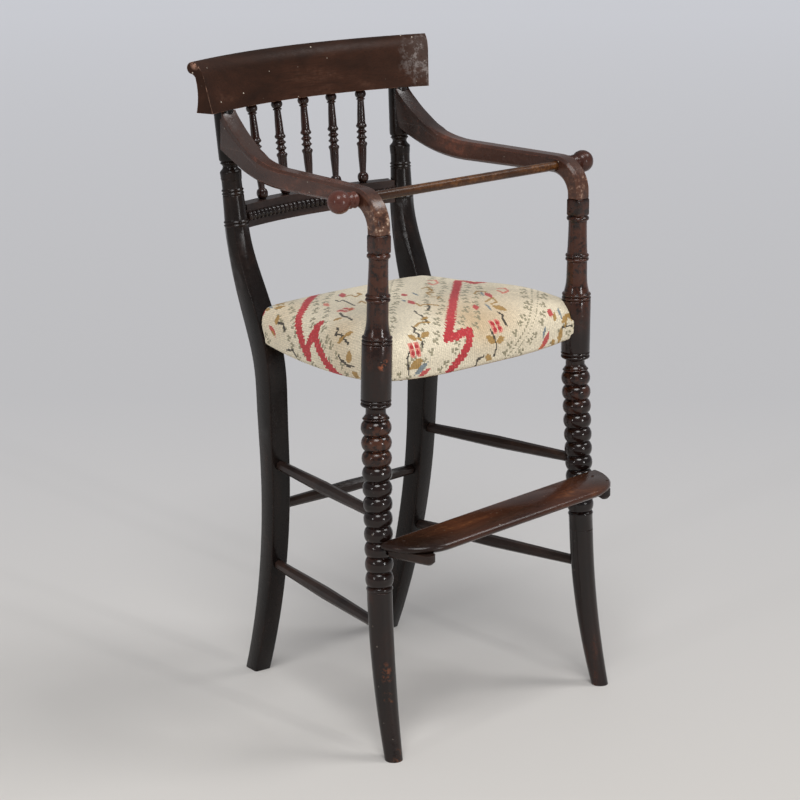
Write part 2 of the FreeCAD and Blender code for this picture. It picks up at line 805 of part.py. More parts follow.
def spindle_turning(length):
    """Ball, tapered shaft, four rings, shaft and ball, with a tenon at each end."""
    ball = spindle_ball_height
    top = length - ball
    steps = [(spindle_tenon_radius, -spindle_tenon_length), (spindle_tenon_radius, glue_gap)]
    steps += bead(glue_gap, ball, spindle_ball_radius, spindle_waist_radius)
    for number in range(spindle_ring_count):
        low = spindle_ring_low + number * spindle_ring_pitch
        steps += ring(low, low + spindle_ring_height, spindle_ring_radius, spindle_shaft_radius)
    steps += [(spindle_shaft_radius, top)]
    steps += bead(top, length - glue_gap, spindle_ball_radius, spindle_waist_radius)
    steps += [(spindle_tenon_radius, length - glue_gap), (spindle_tenon_radius, length + spindle_tenon_length)]
    return turning(0, steps)


def on_arc(centre, radius, x, z):
    return V(x, centre.y + math.sqrt(radius ** 2 - x ** 2), z)


def spindle_ends(number):
    foot_z = cross_rail_z + cross_rail_height
    foot_back = back_radius + post_lean * cross_rail_height + cross_rail_depth / 2
    foot = on_arc(cross_centre, foot_back, number * spindle_foot_pitch, foot_z)
    head = on_arc(crest_centre, back_radius + crest_foot_thickness / 2, number * spindle_top_pitch, crest_z)
    return foot, head


def spindle_holes():
    holes = []
    for number in range(-spindle_half_count, spindle_half_count + 1):
        foot, head = spindle_ends(number)
        run = (head - foot).normalize()
        reach = run * (spindle_tenon_length + glue_gap)
        holes.append(rod(foot - reach, head + reach, spindle_tenon_radius + glue_gap))
    return Part.makeCompound(holes)


crest_angle = math.degrees(math.asin(crest_half_width / back_radius))
post_at_rail = post_foot + V(rear_splay, post_lean, 1) * (cross_rail_z + cross_rail_height / 2 - post_foot.z)
cross_angle = math.degrees(math.asin(post_at_rail.x / (back_radius + cross_rail_depth / 2)))
sleeve_run = (post_top - post_foot).normalize() * cross_rail_height
post_sleeve = rod(post_at_rail - sleeve_run, post_at_rail + sleeve_run, post_radius + rail_cope_gap)
both_sleeves = Part.makeCompound([post_sleeve, mirrored(post_sleeve)])
cross_reach = post_at_rail.x - post_radius / 2


def cross_tenon(grow):
    middle = V(0, post_at_rail.y, cross_rail_z + cross_rail_height / 2)
    half = V(cross_reach + grow, cross_rail_tenon / 2 + grow, cross_rail_tenon + grow)
    return block(middle - half, middle + half)


crest_rail = swept_back(crest_section(), crest_angle, crest_centre)
crest_rail = crest_rail.cut(spindle_holes())
crest_rail = crest_rail.cut(post_tenon(glue_gap)).cut(mirrored(post_tenon(glue_gap)))
cross_body = largest(swept_back(cross_section(), cross_angle, cross_centre).cut(both_sleeves))
tenon_root = post_at_rail.x - post_radius - cross_rail_tenon
tenon_ends = cross_tenon(0).cut(block(V(-tenon_root, 0, 0), V(tenon_root, crest_z, crest_z)))
cross_rail = fused([cross_body] + tenon_ends.Solids).cut(spindle_holes())
bead_strip = swept_back(bead_section(), cross_angle, cross_centre)
bead_moulding = largest(bead_strip.cut(both_sleeves).cut(cross_tenon(glue_gap)))


# Stuffed seat

def seat_outline(swell, z):
    """Level outline of the seat, outside the rails by the swell."""
    front_y = rail_front_y - rail_thickness / 2 - swell
    rear_y = rail_rear_y + rail_thickness / 2 + min(swell, cover_rear_swell)
    side = side_rail_front + side_out * (rail_thickness / 2 + swell)

    def on_side(y):
        return V(side.x + side_run.x / side_run.y * (y - side.y), y, z)

    front = on_side(front_y)
    rear = on_side(rear_y)
    corners = [front, rear, mirror_point(rear), mirror_point(front)]
    return Part.makePolygon(corners + corners[:1])


def seat_form(draw):
    """Crowned seat body with drawn-in sides. The draw takes the whole outside in by a skin's thickness."""
    wires = []
    for swell, height in cover_profile:
        drop = draw if height > rail_height / 2 else 0
        wires.append(seat_outline(swell - draw, rail_low_z + height - drop))
    return Part.makeLoft(wires, True, True)


rail_top_z = rail_low_z + rail_height
web_top_z = rail_top_z + 2 * (web_thickness + web_gap)
hessian_low_z = web_top_z + web_gap
hessian_top_z = hessian_low_z + hessian_thickness
leg_clearance = rod(leg_neck, arm_joint, seat_block_radius + soft_gap)
post_clearance = rear_leg(soft_gap)
outer_clearance = post_clearance.copy()
outer_clearance.translate(side_out * rear_knee_width / 2)
right_room = [leg_clearance, post_clearance, outer_clearance]
corner_room = Part.makeCompound(right_room + [mirrored(room) for room in right_room])
stuffing_low_z = hessian_top_z + web_gap
under_stuffing = block(V(-room_reach, -room_reach, 0), V(room_reach, room_reach, stuffing_low_z))
frame_height = stuffing_low_z - rail_low_z + soft_gap
frame_room = Part.Face(seat_outline(soft_gap, rail_low_z - soft_gap)).extrude(V(0, 0, frame_height))
stuffing_blank = seat_form(cover_thickness + soft_gap).cut(under_stuffing.translated(V(0, 0, soft_gap)))
seat_stuffing = largest(stuffing_blank.cut(corner_room))
cover_blank = seat_form(0).cut(frame_room).cut(seat_form(cover_thickness).cut(under_stuffing))
seat_cover = largest(cover_blank.cut(corner_room))


# Webbing and base cloth on the seat rails

def web_outline(swell, low, thickness):
    return Part.Face(seat_outline(swell, low)).extrude(V(0, 0, thickness))


web_field = web_outline(-rail_thickness + web_landing, rail_top_z, 2 * (web_thickness + web_gap))


def webs(count, pitch, lengthwise, low):
    strips = []
    for number in range(count):
        place = (number - (count - 1) / 2) * pitch
        half = web_width / 2
        if lengthwise:
            strip = block(V(place - half, -room_reach, low), V(place + half, room_reach, low + web_thickness))
        else:
            strip = block(V(-room_reach, place - half, low), V(room_reach, place + half, low + web_thickness))
        strips += strip.common(web_field).Solids
    return strips


web_strips = webs(web_long_count, web_long_pitch, True, rail_top_z)
web_strips += webs(web_cross_count, web_cross_pitch, False, rail_top_z + web_thickness + web_gap)
hessian = largest(web_outline(-rail_thickness + web_landing, hessian_low_z, hessian_thickness).cut(corner_room))


# Sockets in the legs and posts

def leg_sockets(side):
    peg = bracket_peg(side, glue_gap)
    if side < 0:
        peg = mirrored(peg)
    return Part.makeCompound([peg, front_tenon(glue_gap), side_tenon(glue_gap), front_dowel(glue_gap),
                              stretcher_peg(*upper_line, glue_gap), stretcher_peg(*lower_line, glue_gap)])


post_sockets = Part.makeCompound([side_tenon(glue_gap), rear_tenon(glue_gap), rear_dowel(glue_gap),
                                  cross_tenon(glue_gap), stretcher_peg(*upper_line, glue_gap),
                                  stretcher_peg(*lower_line, glue_gap), stretcher_peg(*rear_bar, glue_gap)])
rear_post = rear_post.cut(post_sockets)

pieces = {
    "front_leg_right": front_leg.cut(leg_sockets(1)),
    "front_leg_left": mirrored(front_leg.cut(leg_sockets(-1))),
    "rear_post_right": rear_post,
    "rear_post_left": mirrored(rear_post),
    "seat_rail_front": seat_rail_front,
    "seat_rail_rear": seat_rail_rear,
    "seat_rail_right": seat_rail_side,
    "seat_rail_left": mirrored(seat_rail_side),
    "side_stretcher_upper_right": stretcher(*upper_line),
    "side_stretcher_upper_left": mirrored(stretcher(*upper_line)),
    "side_stretcher_lower_right": stretcher(*lower_line),
    "side_stretcher_lower_left": mirrored(stretcher(*lower_line)),
    "rear_stretcher": stretcher(*rear_bar),
    "arm_right": arm,
    "arm_left": mirrored(arm),
    "arm_dowels": Part.makeCompound([front_dowel(0), mirrored(front_dowel(0)),
                                     rear_dowel(0), mirrored(rear_dowel(0))]),
    "safety_bar": safety_bar,
    "bar_end_knob": bar_end_knob,
    "crest_rail": crest_rail,
    "cross_rail": cross_rail,
    "bead_moulding": bead_moulding,
    "footrest_board": footboard(),
    "footrest_bracket_right": bracket(1),
    "footrest_bracket_left": bracket(-1),
    "seat_webbing": Part.makeCompound(web_strips),
    "seat_base_cloth": hessian,
    "seat_stuffing": seat_stuffing,
    "seat_cover": seat_cover,
}
back_rails = Part.makeCompound([crest_rail, cross_rail])
for number in range(-spindle_half_count, spindle_half_count + 1):
    foot, head = spindle_ends(number)
    spindle = along(spindle_turning((head - foot).Length), foot, head).cut(back_rails)
    pieces["back_spindle_%d" % (number + spindle_half_count + 1)] = spindle

# The origin is on the floor under the middle of the whole chair.
whole = Part.makeCompound(list(pieces.values())).optimalBoundingBox(False, False)
shift = V(-whole.Center.x, -whole.Center.y, 0)

os.makedirs("parts", exist_ok=True)
for name, shape in pieces.items():
    placed = shape.copy()
    placed.translate(shift)
    placed.exportStep("parts/%s.step" % name)
    print(name, len(placed.Solids), "solids", "valid" if placed.isValid() else "NOT VALID")
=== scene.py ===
import math
import bpy
import numpy as np
from mathutils import Matrix, Vector


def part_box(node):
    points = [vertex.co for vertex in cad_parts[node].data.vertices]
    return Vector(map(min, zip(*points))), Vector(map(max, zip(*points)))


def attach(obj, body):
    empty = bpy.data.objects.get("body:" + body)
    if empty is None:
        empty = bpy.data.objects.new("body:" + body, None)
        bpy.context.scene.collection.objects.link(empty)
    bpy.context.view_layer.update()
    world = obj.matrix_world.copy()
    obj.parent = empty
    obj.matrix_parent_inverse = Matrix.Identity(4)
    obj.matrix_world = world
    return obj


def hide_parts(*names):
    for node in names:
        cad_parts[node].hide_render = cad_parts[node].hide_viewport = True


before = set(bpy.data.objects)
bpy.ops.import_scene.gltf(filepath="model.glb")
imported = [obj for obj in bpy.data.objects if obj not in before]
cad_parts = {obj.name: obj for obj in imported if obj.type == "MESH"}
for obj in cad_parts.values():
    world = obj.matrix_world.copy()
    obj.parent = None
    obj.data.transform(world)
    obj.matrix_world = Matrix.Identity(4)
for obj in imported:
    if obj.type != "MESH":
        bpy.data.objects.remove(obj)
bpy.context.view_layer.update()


# Front legs: each is turned in one piece from dark stained wood. From the top it has a square head for
# the arm, two vases between rings, a plain block at the seat, a run of bobbins and a foot bent forward.

# Sizes are in millimetres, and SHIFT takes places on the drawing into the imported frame.
MM = 0.001
SHIFT = Vector((0, -9.6657, 0))
arm_joint = Vector((178, -137.5, 685)) + SHIFT
leg_neck = Vector((181.5, -134.5, 458)) + SHIFT
leg_bend = Vector((186.8, -147, 222)) + SHIFT
leg_foot = Vector((194, -182, 0)) + SHIFT
leg_sides, foot_rings = 44, 14
foot_radius, foot_taper, foot_swell = 16.4, 4.6, 4.4
foot_lean, foot_curl = 0.28, 0.72
bobbin_count, bobbin_low, bobbin_high = 11, 227.2, 446.5
bobbin_radius, bobbin_growth, bobbin_groove = 18.2, 1.6, 13.8
head_size = Vector((24, 22, 24))
arm_toe_in, arm_run = 22, 327.5


def colour(code):
    """Linear colour of an sRGB hex value."""
    parts = [int(code[place:place + 2], 16) / 255 for place in (1, 3, 5)]
    return [part / 12.92 if part <= 0.04045 else ((part + 0.055) / 1.055) ** 2.4 for part in parts] + [1.0]


def wire(node, inputs):
    """Sets or links a node's inputs. A node given as a value stands for its first output in use."""
    for name, value in inputs.items():
        if isinstance(value, bpy.types.Node):
            value = next(output for output in value.outputs if output.enabled)
        if isinstance(value, bpy.types.NodeSocket):
            node.id_data.links.new(value, node.inputs[name])
        else:
            node.inputs[name].default_value = value


def add(tree, kind, inputs, **settings):
    """Adds a shader node with its settings and inputs."""
    node = tree.nodes.new("ShaderNode" + kind)
    for name, value in settings.items():
        setattr(node, name, value)
    wire(node, inputs)
    return node


def started(name):
    """A new material with its node tree and its shader."""
    material = bpy.data.materials.new(name)
    material.use_nodes = True
    return material, material.node_tree, material.node_tree.nodes["Principled BSDF"]


def stained_wood(name, grain, deep, ground, worn, rough=0.32, rub=0.3, edge=0.6, chips=0.0, rounding=1.5,
                 wear_and_painted_light=(), shine=0.3):
    """Stained and waxed beech: dark pores along the grain, patchy stain, rubbed edges, a satin wax gloss.
    Each listed spot, of wear or of painted shade or sheen, has a place, a reach, a colour, a strength and the
    noise level where flecks start."""
    fibre, run, patch, scuff, dent, knock = (size * MM for size in (1.1, 45, 48, 9, 5, 15))
    material, tree, shader = started(name)
    place = add(tree, "TexCoord", {}).outputs["Object"]
    stretch = [1 / run if axis == grain else 1 / fibre for axis in "XYZ"]
    lengthwise = add(tree, "Mapping", {"Vector": place, "Scale": stretch})
    fibres = add(tree, "TexNoise", {"Vector": lengthwise, "Scale": 1.0, "Detail": 4.0, "Roughness": 0.6})
    streak = [0.3 / patch if axis == grain else 1 / patch for axis in "XYZ"]
    streaked = add(tree, "Mapping", {"Vector": place, "Scale": streak})
    patches = add(tree, "TexNoise", {"Vector": streaked, "Scale": 1.0, "Detail": 5.0, "Roughness": 0.62,
                                     "Distortion": 0.4})
    scuffs = add(tree, "TexNoise", {"Vector": place, "Scale": 1 / scuff, "Detail": 6.0, "Roughness": 0.72})
    stain = add(tree, "MapRange", {"Value": patches, "From Min": 0.36, "From Max": 0.66})
    tone = add(tree, "Mix", {0: stain, 6: colour(deep), 7: colour(ground)}, data_type="RGBA")
    pores = add(tree, "MapRange", {"Value": fibres, "From Min": 0.48, "From Max": 0.72, "To Max": 0.75})
    grained = add(tree, "Mix", {0: pores, 6: tone, 7: colour(deep)}, data_type="RGBA")
    # Handling wears the stain off corners first, and then in flecks on the flats.
    round_edge = add(tree, "Bevel", {"Radius": rounding * MM}, samples=6)
    flat = add(tree, "NewGeometry", {})
    bend = add(tree, "VectorMath", {0: round_edge, 1: flat.outputs["Normal"]}, operation="DOT_PRODUCT")
    corner = add(tree, "MapRange", {"Value": bend, "From Min": 0.985, "From Max": 0.86, "To Max": edge})
    flecks = add(tree, "MapRange", {"Value": scuffs, "From Min": 0.42, "From Max": 0.62})
    corner_wear = add(tree, "Math", {0: corner, 1: flecks}, operation="MULTIPLY")
    bare = add(tree, "MapRange", {"Value": patches, "From Min": 0.56, "From Max": 0.72, "To Max": rub})
    fleck_wear = add(tree, "Math", {0: bare, 1: flecks}, operation="MULTIPLY")
    wear = add(tree, "Math", {0: corner_wear, 1: fleck_wear}, operation="MAXIMUM")
    paint = add(tree, "Mix", {0: wear, 6: grained, 7: colour(worn)}, data_type="RGBA")
    if chips:
        knocks = add(tree, "TexVoronoi", {"Vector": place, "Scale": 1 / knock}, distance="MANHATTAN")
        small = add(tree, "MapRange", {"Value": knocks, "From Min": 0.11, "From Max": 0.06, "To Max": chips})
        drawn = add(tree, "SeparateColor", {"Color": knocks.outputs["Color"]})
        chosen = add(tree, "MapRange", {"Value": drawn, "From Min": 0.36, "From Max": 0.4})
        few = add(tree, "Math", {0: small, 1: chosen}, operation="MULTIPLY")
        paint = add(tree, "Mix", {0: few, 6: paint, 7: colour("#e6d8c6")}, data_type="RGBA")
    # The listed spots lay a colour in flecks round a place: worn wood, and on the arms and the crest rail
    # also painted shade and a painted reflection.
    for spot, reach, code, strength, start in wear_and_painted_light:
        near = add(tree, "VectorMath", {0: place, 1: Vector(spot) * MM}, operation="DISTANCE")
        here = add(tree, "MapRange", {"Value": near, "From Min": reach * MM, "From Max": 0.4 * reach * MM,
                                      "To Max": strength})
        specks = add(tree, "MapRange", {"Value": scuffs, "From Min": start, "From Max": start + 0.09})
        spotted = add(tree, "Math", {0: here, 1: specks}, operation="MULTIPLY")
        paint = add(tree, "Mix", {0: spotted, 6: paint, 7: colour(code)}, data_type="RGBA")
    gloss = add(tree, "MapRange", {"Value": scuffs, "From Min": 0.3, "From Max": 0.75,
                                   "To Min": rough - 0.07, "To Max": rough + 0.12})
    dents = add(tree, "TexNoise", {"Vector": place, "Scale": 1 / dent, "Detail": 2.0})
    dented = add(tree, "Bump", {"Height": dents, "Normal": round_edge, "Strength": 0.35,
                                "Distance": 0.5 * MM})
    grainy = add(tree, "Bump", {"Height": fibres, "Normal": dented, "Strength": 0.3, "Distance": 0.2 * MM})
    wire(shader, {"Base Color": paint, "Roughness": gloss, "Normal": grainy, "IOR": 1.5,
                  "Specular IOR Level": shine})
    return material


def bead(low, high, radius, groove, cuts=8):
    """Round bead of a turning, as radii and heights."""
    steps = []
    for cut in range(cuts + 1):
        height = (1 - math.cos(math.pi * cut / cuts)) / 2
        steps.append((groove + (radius - groove) * (4 * height * (1 - height)) ** 0.6,
                      low + (high - low) * height))
    return steps


def sweep(points, cuts=5):
    """Smooth outline of a turning through radii and heights."""
    ends = [points[0]] + points + [points[-1]]
    steps = []
    for before, start, end, after in zip(ends, ends[1:], ends[2:], ends[3:]):
        for cut in range(cuts):
            t = cut / cuts
            steps.append(tuple(0.5 * (2 * b + (c - a) * t + (2 * a - 5 * b + 4 * c - d) * t ** 2
                                      + (3 * b - a - 3 * c + d) * t ** 3)
                               for a, b, c, d in zip(before, start, end, after)))
    return steps + [points[-1]]


def open_mesh():
    """Opens the active piece's mesh with all of it selected."""
    bpy.ops.object.mode_set(mode="EDIT")
    bpy.ops.mesh.select_all(action="SELECT")


def close_mesh():
    """Turns all faces of the open mesh outwards and closes it."""
    bpy.ops.mesh.select_all(action="SELECT")
    bpy.ops.mesh.normals_make_consistent(inside=False)
    bpy.ops.object.mode_set(mode="OBJECT")


def fix_place():
    """Puts the place, turn and size of the selected pieces into their meshes."""
    bpy.ops.object.transform_apply(location=True, rotation=True, scale=True)


def drawn_up(name, rings, sides):
    """Draws a round piece up from its lowest ring: each ring is a radius and the middle of a level circle."""
    bpy.ops.object.select_all(action="DESELECT")
    bpy.ops.mesh.primitive_circle_add(vertices=sides, radius=rings[0][0] * MM, fill_type="NGON",
                                      location=rings[0][1] * MM)
    piece = bpy.context.object
    piece.name = name
    fix_place()
    open_mesh()
    for (radius, middle), (next_radius, next_middle) in zip(rings, rings[1:]):
        bpy.ops.mesh.extrude_region_move(TRANSFORM_OT_translate={"value": (next_middle - middle) * MM})
        grow = next_radius / radius
        bpy.ops.transform.resize(value=(grow, grow, 1), center_override=next_middle * MM)
    close_mesh()
    return piece


def turned(name, steps, start, end, sides):
    """Turns a piece from radii and heights, and stands it on the line from start to end."""
    piece = drawn_up(name, [(radius, Vector((0, 0, height))) for radius, height in steps], sides)
    lean = (end - start).to_track_quat("Z", "Y").to_matrix().to_4x4()
    piece.matrix_world = Matrix.Translation(start * MM) @ lean
    fix_place()
    return piece


def pick(*pieces):
    """Selects some pieces and nothing else, with the first one active."""
    bpy.ops.object.select_all(action="DESELECT")
    for piece in pieces:
        piece.select_set(True)
    bpy.context.view_layer.objects.active = pieces[0]


def joined(pieces):
    """Joins several meshes into the first."""
    pick(*pieces)
    bpy.ops.object.join()
    return pieces[0]


def twin(piece):
    """A copy of a piece with a mesh of its own."""
    other = piece.copy()
    other.data = piece.data.copy()
    bpy.context.scene.collection.objects.link(other)
    return other


def mirrored(piece, name):
    """A copy for the other side of the chair."""
    other = twin(piece)
    other.name = name
    pick(other)
    other.scale.x = -1
    fix_place()
    open_mesh()
    close_mesh()
    return other


def smooth(piece, degrees):
    """Shades a piece smooth, except over edges sharper than an angle."""
    pick(piece)
    bpy.ops.object.shade_smooth_by_angle(angle=math.radians(degrees))


def coat(piece, material):
    """Gives a piece one material all over."""
    piece.data.materials.clear()
    piece.data.materials.append(material)


def settle(piece, material, body, slot, *nodes):
    """Gives a finished piece its material and the body it moves with, and hides the solids it stands for."""
    coat(piece, material)
    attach(piece, body)
    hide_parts(*nodes)


def sabre(height):
    """Middle of the bent foot at a height."""
    share = 1 - height / leg_bend.z
    place = leg_bend.lerp(leg_foot, foot_lean * share + foot_curl * share ** 2)
    return Vector((place.x, place.y, height))


def sabre_radius(height):
    """Radius of the bent foot at a height."""
    share = 1 - height / leg_bend.z
    return foot_radius - foot_taper * share + foot_swell * share * (1 - share)


leg_wear = [((-203, -190, 118), 20, "#7c4222", 0.9, 0.5), ((-205, -196, 84), 18, "#94582f", 0.9, 0.54),
            ((-186, -165, 522), 9, "#a85a34", 0.9, 0.5), ((186, -208, 70), 18, "#6b3a20", 0.7, 0.54),
            ((-194, -205, 4), 16, "#6b3f24", 0.7, 0.52),
            ((-177, -150, 640), 75, "#4a2718", 0.75, 0.42), ((-176, -150, 420), 48, "#55301e", 0.7, 0.45),
            ((177, -150, 610), 110, "#4a2617", 0.75, 0.42), ((176, -150, 420), 45, "#45261a", 0.6, 0.46)]
leg_wood = stained_wood("stained_leg_wood", "Z", "#0f0807", "#24130d", "#5f301b", rough=0.14, rub=0.45,
                        chips=0.2, wear_and_painted_light=leg_wear, shine=0.42)

upper_steps = [(13, -6), (13, 2)] + sweep([(13, 3), (14, 4.8), (17, 6)], 3)
upper_steps += bead(6, 11, 19.8, 17) + bead(11, 16, 19.8, 17)
upper_steps += [(19.4, 16.2), (19.6, 17), (19.6, 87), (19.3, 87.8)]
upper_steps += bead(88, 93, 19.8, 17) + bead(93, 98, 19.6, 16.6)
upper_steps += sweep([(17.2, 98.2), (16.6, 101), (15.0, 108), (14.1, 117), (13.9, 128), (13.7, 141)])
upper_steps += bead(141.5, 146.5, 16.0, 13.2) + bead(146.5, 151.5, 16.0, 13.2)
upper_steps += sweep([(13.8, 152), (13.2, 162), (12.7, 176), (12.4, 190), (12.6, 196.4)])
upper_steps += bead(196.6, 203, 15.2, 12.2) + [(11, 203.6), (11, 206.5)]
base = leg_bend.z
pitch, top = (bobbin_high - bobbin_low) / bobbin_count, bobbin_high - base


def bobbin_run(left_plain):
    """Row of bobbins above the bent foot. The lowest ones can be left plain."""
    lift = pitch * left_plain
    steps = [(16.3, -0.4), (16.4, 0), (16.5, lift + 0.4), (17.3, lift + 1.5), (17.3, lift + 3.2),
             (16, lift + 5)]
    for number in range(left_plain, bobbin_count):
        low = bobbin_low - base + pitch * number
        radius = bobbin_radius + bobbin_growth * number / (bobbin_count - 1)
        steps += bead(low, low + pitch, radius, bobbin_groove, 10)
    steps += bead(top, top + 4, 17.6, bobbin_groove, 6)
    steps += sweep([(15.8, top + 4.3), (13.6, top + 7.4), (12.4, top + 11)], 3) + [(12.4, top + 15)]
    return turned("front_leg_bobbins", steps, leg_bend, leg_neck, leg_sides)


heights = [base * number / foot_rings for number in range(foot_rings + 1)]
foot_piece = drawn_up("front_leg_foot", [(sabre_radius(height), sabre(height)) for height in heights],
                      leg_sides)
vases = turned("front_leg_vases", upper_steps, leg_neck, arm_joint, leg_sides)
bpy.ops.object.select_all(action="DESELECT")
bpy.ops.mesh.primitive_cube_add(size=1)
head = bpy.context.object
head.scale = head_size * MM
head.rotation_euler.z = math.atan2(arm_toe_in, arm_run)
head.location = (arm_joint - Vector((0, 0, head_size.z / 2))) * MM
fix_place()
rounding = head.modifiers.new("rounding", "BEVEL")
rounding.width, rounding.segments = 3 * MM, 4
bpy.ops.object.modifier_apply(modifier="rounding")
# The left leg has eleven bobbins. The right one has ten: its foot goes up higher.
leg_right = joined([foot_piece, vases, head])
leg_right.name = "turned_leg_right"
full_run = bobbin_run(0)
leg_left = joined([mirrored(leg_right, "turned_leg_left"), mirrored(full_run, "left_bobbins")])
bpy.data.objects.remove(full_run)
leg_right = joined([leg_right, bobbin_run(1)])
for piece, node in ((leg_right, "front_leg_right"), (leg_left, "front_leg_left")):
    smooth(piece, 40)
    settle(piece, leg_wood, "chair_frame", "dark_stained_wood", node)


# Rear posts: each is sawn in one piece as a sabre leg below the seat, sweeps back above it, and is turned
# with rings from the cross rail up. The stain is blacker and greyer than on the front legs.

merge_gap = 0.02
post_wood = stained_wood("stained_post_wood", "Z", "#0f0b0a", "#1f1714", "#4c2f22", rough=0.22, rub=0.35,
                         shine=0.22)


def copied(node, name, degrees):
    """A solid's surface with its loose triangles merged and its turned faces smoothed."""
    piece = bpy.data.objects.new(name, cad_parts[node].data.copy())
    bpy.context.scene.collection.objects.link(piece)
    pick(piece)
    open_mesh()
    bpy.ops.mesh.remove_doubles(threshold=merge_gap * MM)
    bpy.ops.object.mode_set(mode="OBJECT")
    bpy.ops.mesh.customdata_custom_splitnormals_clear()
    smooth(piece, degrees)
    return piece


head_foot, head_top = Vector((152.3, 178.25, 708)), Vector((156.4, 187.7, 800))
head_steps = [(13.8, -2), (14.2, 2), (14.5, 7), (14.7, 9)]
head_steps += sweep([(14.5, 9.7), (13.4, 11.2), (11.2, 13.4), (10, 16), (10.1, 18), (11.3, 19.8)], 3)
head_steps += bead(20, 23, 12.6, 11.2, 6) + sweep([(11.2, 23.4), (13, 25), (13.7, 28), (13.7, 40)], 4)
head_steps += [(13.6, 70), (13.5, 92)]
for side in ("right", "left"):
    piece = copied("rear_post_" + side, "sabre_post_" + side, 32)
    open_mesh()
    bpy.ops.mesh.bisect(plane_co=head_foot * MM, plane_no=(0, 0, 1), use_fill=True, clear_outer=True)
    bpy.ops.object.mode_set(mode="OBJECT")
    head = turned("post_head", head_steps, head_foot, head_top, leg_sides)
    if side == "left":
        whole = mirrored(head, "post_head_left")
        bpy.data.objects.remove(head)
        head = whole
    piece = joined([piece, head])
    smooth(piece, 32)
    settle(piece, post_wood, "chair_frame", "dark_stained_wood", "rear_post_" + side)


# Stretchers: shaved bars with eight faint flats, pegged into the legs and posts, in the same dark stain.
# There are two at each side, one over the other, and one at the rear.

bar_stain = ("#1a1210", "#352823", "#5c3a29")
side_wood = stained_wood("stained_stretcher_wood", "Y", *bar_stain, rough=0.36)
rear_wood = stained_wood("stained_rear_stretcher_wood", "X", *bar_stain, rough=0.36)
for place in ("upper_right", "upper_left", "lower_right", "lower_left"):
    coat(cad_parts["side_stretcher_" + place], side_wood)
coat(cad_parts["rear_stretcher"], rear_wood)


# Seat rails: plain unstained beech boards, tenoned into the legs and posts, hidden by the seat's cover.
# Their lower edges rise a little towards the corners.

rail_under, rail_depth, rail_cuts = 487.0, 38, 9
corner_lift, lift_reach = 9.5, 125
rail_corners = (178, -147), (145, 116)


def corner_rise(x, y, height):
    """Lift of the rails' lower edges, from the distance to the nearest leg or post."""
    corner = np.minimum(*(np.hypot(np.abs(x) - aside, y - back) for aside, back in rail_corners))
    return corner_lift * np.clip(1 - corner / lift_reach, 0, 1) ** 2 * np.clip(1 - height / rail_depth, 0, 1)


for names, grain in ((("front", "rear"), "X"), (("right", "left"), "Y")):
    raw_wood = stained_wood("raw_beech_" + grain.lower(), grain, "#8a6238", "#b98d58", "#d2ae7c", rough=0.6)
    for name in names:
        piece = copied("seat_rail_" + name, "beech_rail_" + name, 30)
        open_mesh()
        bpy.ops.mesh.subdivide(number_cuts=rail_cuts)
        bpy.ops.object.mode_set(mode="OBJECT")
        for corner in piece.data.vertices:
            x, y, z = corner.co / MM
            corner.co.z += corner_rise(x, y, z - rail_under) * MM
        settle(piece, raw_wood, "chair_frame", "plain_wood", "seat_rail_" + name)
coat(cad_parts["arm_dowels"], bpy.data.materials["raw_beech_x"])


# Arms: sawn scrolls with eased edges, dowelled to the posts and to the heads of the front legs. Hands
# have rubbed their stain to a greyish brown, with redder wood showing along the edges.

# Near the posts, the rear ends of the arms are darkened with painted shade. On the left arm the tone is
# greyer, which also paints a sheen. The other spots are rubbed wood at the front bends.
arm_wear_shade_and_sheen = [((-178, -152, 704), 42, "#6d4936", 0.7, 0.42), ((-180, -158, 698), 36, "#dcc0a8", 0.95, 0.56),
            ((178, -152, 704), 40, "#63402f", 0.5, 0.4), ((178, -158, 700), 32, "#c8a58c", 0.6, 0.56),
            ((160, 150, 768), 85, "#221a17", 0.8, 0.34), ((-160, 150, 768), 70, "#3b302c", 0.6, 0.36)]
arm_wood = stained_wood("rubbed_and_shaded_arm_wood", "Y", "#36211a", "#55372c", "#a25c44", rough=0.24, rub=0.45,
                        edge=1.0, chips=0.6, rounding=1.6, wear_and_painted_light=arm_wear_shade_and_sheen, shine=0.42)
arm_cut, cut_way = Vector((0, 180, 742)), (0, 1, -0.103)
arm_half, arm_aside, arm_splay, arm_end = 12.2, 155.4, 0.0672, 186
swell_under, swell_least = 752, 8
arm_line = sweep([(98, 743), (110, 749.5), (122, 755), (138, 765.5), (150, 774), (162, 784), (172, 793),
                  (178, 799.8)])
